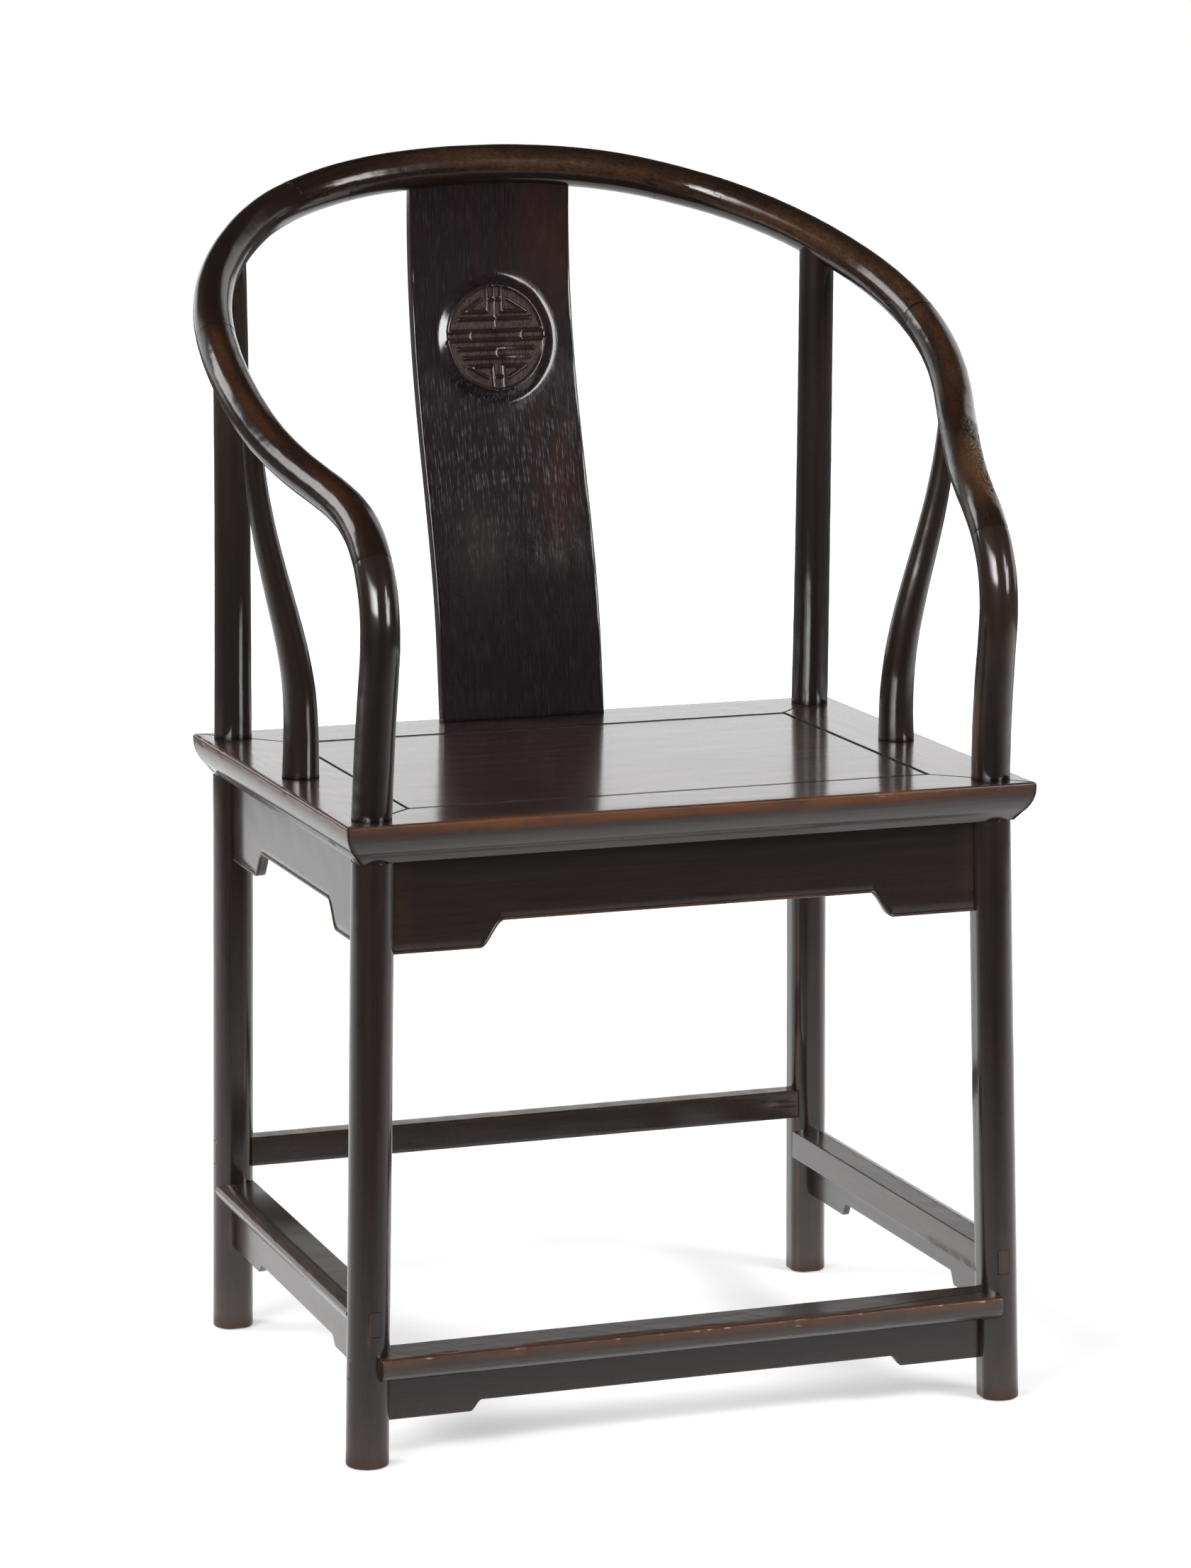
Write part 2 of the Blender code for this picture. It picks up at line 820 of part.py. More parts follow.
def fret():
    shape = bmesh.new()
    reach = sqrt(fret_ring_radius**2 - fret_upper_bar**2)
    upper_turns = (acos(fret_top_gap / fret_ring_radius), asin(fret_upper_bar / fret_ring_radius))
    lower_turns = (asin(fret_lower_bar / fret_ring_radius), -acos(fret_bottom_gap / fret_ring_radius))
    for up in (fret_upper_bar, fret_lower_bar):
        add_bead(shape, [(-reach, up), (reach, up)], fret_step)
    for bar in fret_bars:
        add_bead(shape, bar, 2 * fret_step)
    for side in sides.values():
        for start, end in (upper_turns, lower_turns):
            add_bead(shape, fret_arc(start, end, side))
        for bars, lower in ((fret_hooks, 3 * fret_step), (fret_strokes, 4 * fret_step)):
            for bar in bars:
                add_bead(shape, [(side * across, up) for across, up in bar], lower)
    return placed("medallion_fret", shape, False)


def splat():
    low = seat_top + joint_gap
    high = seat_top + splat_controls[-1][0]
    board = loft("back_splat", [splat_ring(z) for z in stations(low, high, (high - low) / splat_stations)])
    join(board, cushion())
    join(board, fret(), True)
    cut(board, top_rail_tool())
    join(board, splat_tongue_tool("splat_top_tongue", 0.0))
    join(board, splat_foot_tool("splat_foot_tongue", 0.0))


def top_rail_tool():
    reach = splat_half_width_low * splat_saddle_share
    rings = tube_rings(rail_line, -reach, reach, rail_spacing, round_points, joint_gap)
    return loft("splat_top_saddle", rings, False)


# Seat
def rectangle(x, front, back, z):
    return [(-x, front, z), (x, front, z), (x, back, z), (-x, back, z)]


def outer_seat(name):
    rings = []
    for inset, depth in seat_edge:
        y = seat_depth / 2 - inset
        rings.append(rectangle(seat_width / 2 - inset, -y, y, seat_top - depth))
    return loft(name, rings, False)


def rail_outline(width):
    return (
        (-cut_margin, seat_underside - cut_margin),
        (-cut_margin, seat_top + cut_margin),
        (width, seat_top + cut_margin),
        (width, groove_high),
        (width - groove_depth, groove_high),
        (width - groove_depth, groove_low),
        (width, groove_low),
        (width, seat_underside - cut_margin),
    )


# The tenon of a front or rear rail, through the side rail to its outer face
def rail_tenon(name, side, back, width, wider=0.0):
    inner = back * (seat_depth / 2 - width)
    outer = inner + back * (front_tenon_width if back < 0 else rear_tenon_width)
    low_y, high_y = sorted((inner - back * wider, outer + back * wider))
    root = side * (seat_width / 2 - side_rail_width - cut_margin)
    low_x, high_x = sorted((root, side * (seat_width / 2 + cut_margin)))
    return box(name, (low_x, low_y, rail_tenon_low - wider), (high_x, high_y, rail_tenon_high + wider))


def cross_rail(name, back, width):
    slant = side_rail_width / width
    rings = []
    for side in sides.values():
        ring = []
        for inset, z in rail_outline(width):
            x = seat_width / 2 - inset * slant - half_gap
            ring.append((side * x, back * (seat_depth / 2 - inset), z))
        rings.append(ring)
    rail = loft(name, rings)
    for which, side in sides.items():
        join(rail, rail_tenon(name + "_tenon_" + which, side, back, width))
    combine(rail, outer_seat(name + "_edge"), "INTERSECT")
    end = "front" if back < 0 else "rear"
    for which, side in sides.items():
        cut(rail, post_hole(end, side, name + "_hole_" + which))
    return rail


def side_rail(name, side):
    rings = []
    for back, width in ((-1, front_rail_width), (1, rear_rail_width)):
        slant = width / side_rail_width
        ring = []
        for inset, z in rail_outline(side_rail_width):
            y = seat_depth / 2 - inset * slant - half_gap
            ring.append((side * (seat_width / 2 - inset), back * y, z))
        rings.append(ring)
    rail = loft(name, rings)
    combine(rail, outer_seat(name + "_edge"), "INTERSECT")
    for end, back, width in (("front", -1, front_rail_width), ("rear", 1, rear_rail_width)):
        cut(rail, post_hole(end, side, name + "_hole_" + end))
        cut(rail, rail_tenon(name + "_mortise_" + end, side, back, width, joint_gap))
    x, y = side_post_controls[0][:2]
    radius = side_post_root_radius + joint_gap
    ends = (seat_top - side_post_tenon_length - joint_gap, seat_top + cut_margin)
    rings = [mirrored(level_ring((x, y, z), radius, slim_points), side) for z in ends]
    cut(rail, loft(name + "_post_socket", rings, False))


def seat_panel():
    x = seat_width / 2 - side_rail_width
    front = front_rail_width - seat_depth / 2
    back = seat_depth / 2 - rear_rail_width
    tongue = groove_depth - tongue_play
    low, high = groove_low + joint_gap, groove_high - joint_gap
    rings = [rectangle(x + tongue, front - tongue, back + tongue, z) for z in (low, high)]
    field = (x - panel_gap, front + panel_gap, back - panel_gap)
    rings.append(rectangle(*field, high))
    rings.append(rectangle(*field, seat_top - joint_gap))
    loft("seat_panel", rings)


def batten(name, side):
    front = front_rail_width - seat_depth / 2 + joint_gap
    back = seat_depth / 2 - rear_rail_width - joint_gap
    high = groove_low
    low = high - batten_height
    half = batten_width / 2
    outline = ((-half, high), (half, high), (half - batten_slope, low), (batten_slope - half, low))
    loft(name, [[(side * batten_x + x, y, z) for x, z in outline] for y in (front, back)])


# Aprons. The lower edge drops from the middle to a spandrel at each leg.
def apron_edge(shape, along):
    start = shape["step"] - shape["run"]
    share = min(max((abs(along) - start) / (2 * shape["run"]), 0.0), 1.0)
    return shape["mid"] + (shape["low"] - shape["mid"]) * (1 - cos(pi * share)) / 2


def apron_stations(shape, half):
    start = shape["step"] - shape["run"]
    end = shape["step"] + shape["run"]
    curve = stations(start, end, 2 * shape["run"] / apron_curve_steps)
    right = stations(0.0, start, start / apron_flat_steps)[:-1] + curve + [half]
    return [-along for along in right[::-1]] + right[1:]


# place turns a point along, outward and upward into the chair's own.
# reach gives the half length at a height.
def apron(name, shape, top, place, reach, thickness, bead=True):
    half = reach(shape["low"])
    outward = shape["face"]
    rings = []
    for along in apron_stations(shape, half):
        low = apron_edge(shape, along)
        rise = apron_edge(shape, along + apron_slope_step) - apron_edge(shape, along - apron_slope_step)
        slope = rise / (2 * apron_slope_step)
        brim = low + apron_bead_width * hypot(1, slope)
        hollow = outward - apron_bead_rise if bead else outward
        outline = [(outward - thickness, top), (hollow, top)]
        if bead:
            outline += [(hollow, brim), (outward, brim - apron_bead_rise)]
        outline += [(outward, low), (outward - thickness, low)]
        ring = []
        for out, z in outline:
            at_end = abs(along) == half
            ring.append(place(along / half * reach(z) if at_end else along, out, z))
        rings.append(ring)
    return loft(name, rings)


def leg_gap_x(end):
    return lambda z: leg_xy(end, z)[0] - leg_flat - apron_gap


def side_line(along, z):
    front_x, front_y = leg_xy("front", z)
    rear_x, rear_y = leg_xy("rear", z)
    share = (along - front_y) / (rear_y - front_y)
    return front_x + (rear_x - front_x) * share


def side_reach(z):
    return (leg_xy("rear", z)[1] - leg_xy("front", z)[1]) / 2 - leg_flat - apron_gap


def side_middle(z):
    return (leg_xy("rear", z)[1] + leg_xy("front", z)[1]) / 2


def upper_aprons():
    top = leg_top
    for name, shape, back in (("front", front_apron, -1), ("rear", rear_apron, 1)):
        place = lambda along, out, z, back=back: (along, back * out, z)
        apron("apron_" + name, shape, top, place, leg_gap_x(name), apron_thickness)
    for name, side in sides.items():
        place = lambda along, out, z, side=side: (side * out, side_middle(z) + along, z)
        apron("apron_" + name, side_apron, top, place, side_reach, apron_thickness)


def lower_aprons():
    top = foot_rest_section[-1][1] - apron_gap
    place = lambda along, out, z: (along, -out, z)
    apron("stretcher_apron_front", foot_apron, top, place, leg_gap_x("front"), foot_apron_thickness, False)
    top = side_stretcher_section[0][1] - apron_gap
    for name, side in sides.items():
        place = lambda along, out, z, side=side: (
            side * (side_line(side_middle(z) + along, z) + out),
            side_middle(z) + along,
            z,
        )
        shape = low_aprons[name]
        apron("stretcher_apron_" + name, shape, top, place, side_reach, low_apron_thickness, False)


# Stretchers
def tenon_heights(which):
    if which == "front":
        low, high = foot_rest_section[-1][1], foot_rest_section[0][1]
    elif which == "rear":
        low, high = rear_stretcher_low, rear_stretcher_high
    else:
        low, high = side_stretcher_section[0][1], side_stretcher_section[-1][1]
    return low + stretcher_tenon_trim, high - stretcher_tenon_trim


# A tenon through a leg, its end worked to the leg's round.
# along_x is for a stretcher that runs across the chair.
def stretcher_tenon(name, which, end, side, along_x):
    low, high = tenon_heights(which)
    back = -1 if end == "front" else 1
    middle = leg_xy(end, (low + high) / 2)
    rings = []
    for share in stretcher_tenon_shares:
        off = share * stretcher_tenon_thickness / 2
        reach = sqrt(leg_radius**2 - off**2)
        ring = []
        for z, outer in ((low, False), (low, True), (high, True), (high, False)):
            x, y = leg_xy(end, z)
            if along_x:
                far = x + reach if outer else x - leg_flat - stretcher_tenon_root
                ring.append((side * far, middle[1] + off, z))
            else:
                far = y + back * reach if outer else y - back * (leg_flat + stretcher_tenon_root)
                ring.append((side * (middle[0] + off), far, z))
        rings.append(ring)
    return loft(name, rings, False)


def leg_tool(name, end, side):
    return loft(name, [leg_ring(end, side, z, wider=joint_gap) for z in leg_tool_heights], False)


def foot_rest():
    name = "stretcher_front"
    end = leg_xy("front", foot_rest_section[0][1])[0] - foot_rest_end_inset
    bar = loft(name, [[(x, -out, z) for out, z in foot_rest_section] for x in (-end, end)])
    for which, side in sides.items():
        cut(bar, leg_tool(name + "_leg_" + which, "front", side))
        join(bar, stretcher_tenon(name + "_tenon_" + which, "front", "front", side, True))


def side_stretcher(name, side):
    middle = (side_stretcher_section[0][1] + side_stretcher_section[-1][1]) / 2
    rings = []
    front = leg_xy("front", middle)[1] + side_stretcher_front_inset
    rear = leg_xy("rear", middle)[1] - side_stretcher_rear_inset
    for y in (front, rear):
        rings.append([(side * (side_line(y, middle) + out), y, z) for out, z in side_stretcher_section])
    bar = loft(name, rings)
    for end in ("front", "rear"):
        cut(bar, leg_tool(name + "_leg_" + end, end, side))
        join(bar, stretcher_tenon(name + "_tenon_" + end, "side", end, side, False))


def rear_stretcher():
    name = "stretcher_rear"
    trim = rear_stretcher_arris
    low, high = rear_stretcher_low, rear_stretcher_high
    front, back = rear_stretcher_front, rear_stretcher_back
    outline = (
        (front, low + trim),
        (front, high - trim),
        (front + trim, high),
        (back - trim, high),
        (back, high - trim),
        (back, low + trim),
        (back - trim, low),
        (front + trim, low),
    )
    reach = leg_gap_x("rear")
    rings = [[(side * reach(z), y, z) for y, z in outline] for side in sides.values()]
    bar = loft(name, rings)
    for which, side in sides.items():
        join(bar, stretcher_tenon(name + "_tenon_" + which, "rear", "rear", side, True))


def build_seat():
    cross_rail("seat_rail_front", -1, front_rail_width)
    rear = cross_rail("seat_rail_rear", 1, rear_rail_width)
    cut(rear, splat_foot_tool("splat_foot_mortise", joint_gap))
    for name, side in sides.items():
        side_rail("seat_rail_" + name, side)
        batten("seat_batten_" + name, side)
    seat_panel()


def build_supports():
    for name, side in sides.items():
        front_leg("front_leg_" + name, side)
        rear_leg("rear_leg_" + name, side)
        side_post("side_post_" + name, side)


def build_crest():
    crest_center()
    for name, side in sides.items():
        crest_back("crest_rail_back_" + name, side, name)
        crest_arm("crest_rail_arm_" + name, side, name)
        pin("crest_pin_back_" + name, side, back_joint_at[name])
        pin("crest_pin_side_" + name, side, side_joint_at[name])


def build_stretchers():
    foot_rest()
    rear_stretcher()
    for name, side in sides.items():
        side_stretcher("stretcher_" + name, side)


clear_scene()
build_seat()
build_supports()
build_crest()
splat()
upper_aprons()
build_stretchers()
lower_aprons()
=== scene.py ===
import math

import bpy
import numpy as np
from mathutils import Matrix


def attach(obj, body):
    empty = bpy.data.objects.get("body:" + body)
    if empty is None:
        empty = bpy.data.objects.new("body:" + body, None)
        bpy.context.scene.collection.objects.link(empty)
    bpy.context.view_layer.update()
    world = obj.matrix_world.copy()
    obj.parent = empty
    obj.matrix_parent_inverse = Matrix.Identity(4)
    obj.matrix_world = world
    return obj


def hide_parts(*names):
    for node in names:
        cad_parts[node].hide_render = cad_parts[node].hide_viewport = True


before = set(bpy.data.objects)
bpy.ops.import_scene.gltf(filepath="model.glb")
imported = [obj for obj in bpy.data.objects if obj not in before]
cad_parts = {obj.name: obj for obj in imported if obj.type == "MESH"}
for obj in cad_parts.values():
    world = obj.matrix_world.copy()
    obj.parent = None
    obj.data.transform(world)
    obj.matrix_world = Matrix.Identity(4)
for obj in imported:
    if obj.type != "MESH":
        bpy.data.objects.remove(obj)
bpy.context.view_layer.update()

# Horseshoe back armchair in dark hardwood. Metres, +Z up, the front faces -Y and left is -X.
# Every surface is worked out about the seat's middle and then moved back by seatMiddleY.
seatMiddleY = -0.0421
seatTop = 0.509
seatUnder = 0.4773
legTop = 0.4770
sideTurns = {"left": -1, "right": 1}


# A soft step: the share of the way from low to high, squared and times 3 less twice itself
def smooth(low, high, value):
    share = np.clip((np.asarray(value, float) - low) / (high - low), 0.0, 1.0)
    return share * share * (3 - 2 * share)


# A bell: e to the minus square of how many widths the value lies from the middle
def bump(value, middle, width):
    return np.exp(-(((np.asarray(value, float) - middle) / width) ** 2))


# Sines of random heading added up in three octaves, for the slow unevenness that a hand plane leaves
def ripple(where, size, seed):
    draw = np.random.default_rng(seed)
    total = 0.0
    for finer in (1.0, 1.9, 1.9**2):
        waves = draw.normal(size=(4, 3)) * finer * 2 * math.pi / size
        phases = draw.uniform(0, 2 * math.pi, 4)
        total = total + np.sin(where @ waves.T + phases).sum(-1) / (4 * finer)
    return total


# Each vector over its own length
def unit(vectors):
    return vectors / np.linalg.norm(vectors, axis=-1, keepdims=True)


# Clamped cubic B-spline: blends four neighbouring controls, and starts and ends on the outer ones
def spline(controls, shares):
    controls = np.array(controls, float)
    spans = len(controls) - 3
    knots = np.concatenate([[0.0] * 3, np.arange(spans + 1) / spans, [1.0] * 3])
    span = np.minimum((shares * spans).astype(int), spans - 1) + 3
    near = [controls[span - 3 + step] for step in range(4)]
    for level in range(1, 4):
        for step in range(3, level - 1, -1):
            low, high = knots[span - 3 + step], knots[span + 1 + step - level]
            share = ((shares - low) / (high - low))[:, None]
            near[step] = near[step - 1] * (1 - share) + near[step] * share
    return near[3]


# A smooth curve through given points: cubic pieces whose slopes are those of the neighbours
def through(points, steps):
    points = np.array(points, float)
    slopes = np.gradient(points, axis=0)
    where = np.linspace(0, len(points) - 1, (len(points) - 1) * steps + 1)
    low = np.minimum(where.astype(int), len(points) - 2)
    t = (where - low)[:, None]
    a, b = points[low], points[low + 1]
    return (
        a * (2 * t**3 - 3 * t**2 + 1)
        + slopes[low] * (t**3 - 2 * t**2 + t)
        + b * (3 * t**2 - 2 * t**3)
        + slopes[low + 1] * (t**3 - t**2)
    )


# A closed outline: each corner becomes a short quadratic curve, and the sides between are filled with points
def eased(corners, cut, spacing, turn=4):
    corners = np.array(corners, float)
    count = len(corners)
    cuts = np.broadcast_to(cut, (count,))
    out = []
    for index in range(count):
        here, before, after = corners[index], corners[index - 1], corners[(index + 1) % count]
        back, ahead = before - here, after - here
        reach = min(cuts[index], 0.45 * np.hypot(*back), 0.45 * np.hypot(*ahead))
        start = here + back / np.hypot(*back) * reach
        end = here + ahead / np.hypot(*ahead) * reach
        t = np.linspace(0, 1, turn)[:, None]
        out.append((1 - t) ** 2 * start + 2 * t * (1 - t) * here + t**2 * end)
    filled = []
    for index in range(count):
        filled.append(out[index])
        start, end = out[index][-1], out[(index + 1) % count][0]
        fill = int(np.hypot(*(end - start)) / spacing)
        filled.append(start + (end - start) * (np.arange(1, fill + 1) / (fill + 1))[:, None])
    return np.concatenate(filled)


# Lines across a grid: even ones at a spacing, and the wanted ones kept exactly where they are
def gridLines(start, end, spacing, wanted=()):
    wanted = np.array([start, end] + [value for value in wanted if start < value < end])
    even = np.linspace(start, end, max(2, int(abs(end - start) / spacing) + 1))
    near = np.abs(even[:, None] - wanted[None, :]).min(1)
    return np.unique(np.concatenate([wanted, even[near > 0.3 * spacing]]).round(7))


# One node with its settings and links. A key names a property or a socket, and a number is a socket's place.
def addNode(tree, kind, settings=None, links=None):
    node = tree.nodes.new(kind)
    for key, value in (settings or {}).items():
        if isinstance(key, int) or (key in node.inputs and not hasattr(node, key)):
            node.inputs[key].default_value = value
        else:
            setattr(node, key, value)
    for key, source in (links or {}).items():
        tree.links.new(source, node.inputs[key])
    return node


# An sRGB hex colour turned to linear light
def linear(code):
    parts = [int(code[at : at + 2], 16) / 255 for at in (1, 3, 5)]
    parts = [part / 12.92 if part <= 0.04045 else ((part + 0.055) / 1.055) ** 2.4 for part in parts]
    return (*parts, 1.0)


# The finish: dense, nearly black tropical hardwood, planed, rubbed smooth and waxed for generations.
# It gives deep brown-black with long red-brown streaks, fine open pores and a hard wax shine.
woodLooks = {
    "framework": {
        "dark": "#181413", "streak": "#291d1a", "handled": "#443225", "edge": "#5c3f2d",
        "pore": "#0a0707", "dust": "#5f5a59", "streakShare": 0.55, "poreShare": 0.35,
        "rough": 0.45, "base": 1.2, "shineRough": 0.12, "fleck": 0.25,
    },
    "crestRail": {
        "dark": "#150e0c", "streak": "#271610", "handled": "#4b3320", "edge": "#49230f",
        "pore": "#0c0807", "dust": "#8a6a45", "streakShare": 0.6, "poreShare": 0.4,
        "rough": 0.45, "base": 1.15, "shineRough": 0.15, "fleck": 0.3,
    },
    "seat": {
        "dark": "#1a1211", "streak": "#3a241e", "handled": "#4d3224", "edge": "#58300f",
        "pore": "#0c0807", "dust": "#b5aca6", "streakShare": 0.7, "poreShare": 0.4,
        "rough": 0.32, "base": 1.5, "shineRough": 0.10, "fleck": 0.2,
    },
    # On the splat the handled tone also paints a pale grey reflection low on the left, and the edge tone a warm one
    # low on the right.
    "splat": {
        "dark": "#110c0e", "streak": "#241316", "handled": "#514642", "edge": "#4a2517",
        "pore": "#0a0707", "dust": "#6a6468", "streakShare": 0.4, "poreShare": 0.3,
        "rough": 0.45, "base": 1.2, "shineRough": 0.08, "fleck": 0.1,
    },
    "footRail": {
        "dark": "#191210", "streak": "#32211a", "handled": "#3a2c22", "edge": "#4c2e1b",
        "pore": "#0c0807", "dust": "#5f5a59", "streakShare": 0.6, "poreShare": 0.5,
        "rough": 0.45, "base": 1.4, "shineRough": 0.20, "fleck": 0.3,
    },
}
# Real pores are about 0.15 mm wide and 3 mm long. They are drawn three times as coarse to show.
grain = {
    "patterns": {  # waves per metre across, up and along the grain, then detail, roughness and distortion
        "streaks": ((210.0, 210.0, 5.0), 5.0, 0.55, 0.6),
        "pores": ((1500.0, 1500.0, 130.0), 2.0, 0.5, 0.0),
        "openPores": ((1100.0, 1100.0, 50.0), 1.0, 0.4, 0.0),
        "clouds": ((26.0, 26.0, 9.0), 4.0, 0.6, 0.4),
        "specks": ((520.0, 520.0, 260.0), 3.0, 0.6, 0.0),
    },
    "layers": (  # the colour laid on, the worn value that carries it, and the patterns that break it up
        ("streak", None, (("streaks", 0.42, 0.68),)),
        ("handled", "handled", (("clouds", 0.22, 0.52), ("specks", 0.22, 0.58))),
        ("edge", "rubbed", (("clouds", 0.30, 0.55),)),
        ("pore", None, (("pores", 0.60, 0.70),)),
        ("dust", "dusty", (("openPores", 0.57, 0.68),)),
        # the pore colour laid on as painted shade in gaps and at junctions, and as dark joints and grime
        ("pore", "shadeAndGrime", ()),
    ),
    "reliefs": (("pores", 0.5, 0.00006, True), ("clouds", 0.25, 0.00025, False), ("streaks", 0.15, 0.00006, False)),
    "fleckDepth": 0.0001,
    "streakRoughness": (0.3, 0.75, 0.10),
    "wornRoughness": 0.45,
    "waxIndex": 1.5,
    "leastShine": {"rough": 0.15, "shadeAndGrime": 0.05},
}


# The piece's own fibre attribute holds metres across, up and along the grain, so streaks follow bends.
# Its finish attribute holds how handled, rubbed at an arris, rough and dusty a place is. Painted shade and grime are
# apart, in one value that darkens a place to the pore colour and dulls its wax.
def hardwood(name):
    look = woodLooks[name]
    material = bpy.data.materials.new(name + "Hardwood")
    material.use_nodes = True
    tree = material.node_tree
    shader = tree.nodes["Principled BSDF"]
    fibre = addNode(tree, "ShaderNodeAttribute", {"attribute_name": "fibre"}).outputs["Vector"]
    finish = addNode(tree, "ShaderNodeAttribute", {"attribute_name": "finish"})
    split = addNode(tree, "ShaderNodeSeparateColor", links={0: finish.outputs["Color"]})
    worn = {key: split.outputs[place] for place, key in enumerate(("handled", "rubbed", "rough"))}
    worn["dusty"] = finish.outputs["Alpha"]
    worn["shadeAndGrime"] = addNode(tree, "ShaderNodeAttribute", {"attribute_name": "shadeAndGrime"}).outputs["Fac"]

    patterns = {}
    for key, (stretch, detail, roughness, distortion) in grain["patterns"].items():
        spot = addNode(tree, "ShaderNodeVectorMath", {"operation": "MULTIPLY", 1: stretch}, {0: fibre}).outputs[0]
        settings = {"Scale": 1.0, "Detail": detail, "Roughness": roughness, "Distortion": distortion}
        patterns[key] = addNode(tree, "ShaderNodeTexNoise", settings, {"Vector": spot}).outputs["Fac"]

    colour = None
    for tone, carrier, breaks in grain["layers"]:
        share = worn[carrier] if carrier else None
        for key, low, high in breaks:
            settings = {"From Min": low, "From Max": high, "To Max": look.get(tone + "Share", 1.0)}
            band = addNode(tree, "ShaderNodeMapRange", settings, {"Value": patterns[key]}).outputs[0]
            if share:
                band = addNode(tree, "ShaderNodeMath", {"operation": "MULTIPLY"}, {0: share, 1: band}).outputs[0]
            share = band
        settings, links = {"data_type": "RGBA", 7: linear(look[tone])}, {0: share}
        if colour:
            links[6] = colour
        else:
            settings[6] = linear(look["dark"])
        colour = addNode(tree, "ShaderNodeMix", settings, links).outputs[2]
    tree.links.new(colour, shader.inputs["Base Color"])

    low, high, most = grain["streakRoughness"]
    settings = {"From Min": low, "From Max": high, "To Max": most}
    spread = addNode(tree, "ShaderNodeMapRange", settings, {"Value": patterns["streaks"]}).outputs[0]
    settings = {"operation": "MULTIPLY_ADD", 1: grain["wornRoughness"], 2: look["rough"]}
    roughness = addNode(tree, "ShaderNodeMath", settings, {0: worn["rough"]}).outputs[0]
    for more in (spread, worn["shadeAndGrime"]):
        roughness = addNode(tree, "ShaderNodeMath", {"operation": "ADD"}, {0: roughness, 1: more}).outputs[0]
    tree.links.new(roughness, shader.inputs["Roughness"])
    shader.inputs["IOR"].default_value = look["base"]
    shader.inputs["Coat Roughness"].default_value = look["shineRough"]
    shader.inputs["Coat IOR"].default_value = grain["waxIndex"]
    shines = []  # the wax is worn away where the wood is rough and under grime and painted shade
    for key, least in grain["leastShine"].items():
        settings = {"To Min": 1.0, "To Max": least}
        shines.append(addNode(tree, "ShaderNodeMapRange", settings, {"Value": worn[key]}).outputs[0])
    shine = addNode(tree, "ShaderNodeMath", {"operation": "MULTIPLY"}, {0: shines[0], 1: shines[1]})
    tree.links.new(shine.outputs[0], shader.inputs["Coat Weight"])

    normals = []
    for key, strength, depth, sunk in grain["reliefs"]:
        settings = {"Strength": strength, "Distance": depth, "invert": sunk}
        links = {"Height": patterns[key]}
        if normals:
            links["Normal"] = normals[-1]
        normals.append(addNode(tree, "ShaderNodeBump", settings, links).outputs[0])
    tree.links.new(normals[2], shader.inputs["Normal"])
    settings = {"Strength": look["fleck"], "Distance": grain["fleckDepth"]}
    flecked = addNode(tree, "ShaderNodeBump", settings, {"Height": patterns["specks"], "Normal": normals[1]})
    tree.links.new(flecked.outputs[0], shader.inputs["Coat Normal"])
    return material


woods = {name: hardwood(name) for name in woodLooks}
print("finish made")


# A skin is a grid of points with fibre and finish values. Its columns may run round and its ends be closed.
def skin(points, fibre, finish, wrap=True, capped=True, keep=None, shadeAndGrime=0.0):
    shape = points.shape[:2]
    finish = (*finish, 0.0) if len(finish) == 3 else finish
    finish = np.stack([np.broadcast_to(part, shape) for part in finish], -1)
    shadeAndGrime = np.clip(np.broadcast_to(shadeAndGrime, shape), 0.0, 1.0)
    values = {"points": points, "fibre": fibre, "finish": finish, "shadeAndGrime": shadeAndGrime}
    return {**values, "wrap": wrap, "capped": capped, "keep": keep}


# One face between each four neighbours of the grid, and one over each open end.
# The sum of the corners' triple products tells whether the skin is inside out.
def gridFaces(part):
    rows, columns = part["points"].shape[:2]
    lines = np.arange(rows - 1), np.arange(columns - (not part["wrap"]))
    row, column = np.meshgrid(*lines, indexing="ij")
    after = (column + 1) % columns
    low, high = row * columns, (row + 1) * columns
    quads = np.stack([low + column, low + after, high + after, high + column], -1)
    quads = quads.reshape(-1, 4) if part["keep"] is None else quads[part["keep"]]
    caps = []
    if part["capped"]:
        caps = [np.arange(columns)[::-1], (rows - 1) * columns + np.arange(columns)]
    flat = part["points"].reshape(-1, 3) - part["points"].reshape(-1, 3).mean(0)
    corner = [flat[quads[:, index]] for index in range(4)]
    volume = (np.cross(corner[0], corner[1]) * corner[2]).sum() + (np.cross(corner[0], corner[2]) * corner[3]).sum()
    if volume < 0:  # a mirrored piece is turned back outwards
        quads, caps = quads[:, ::-1], [cap[::-1] for cap in caps]
    return quads, caps


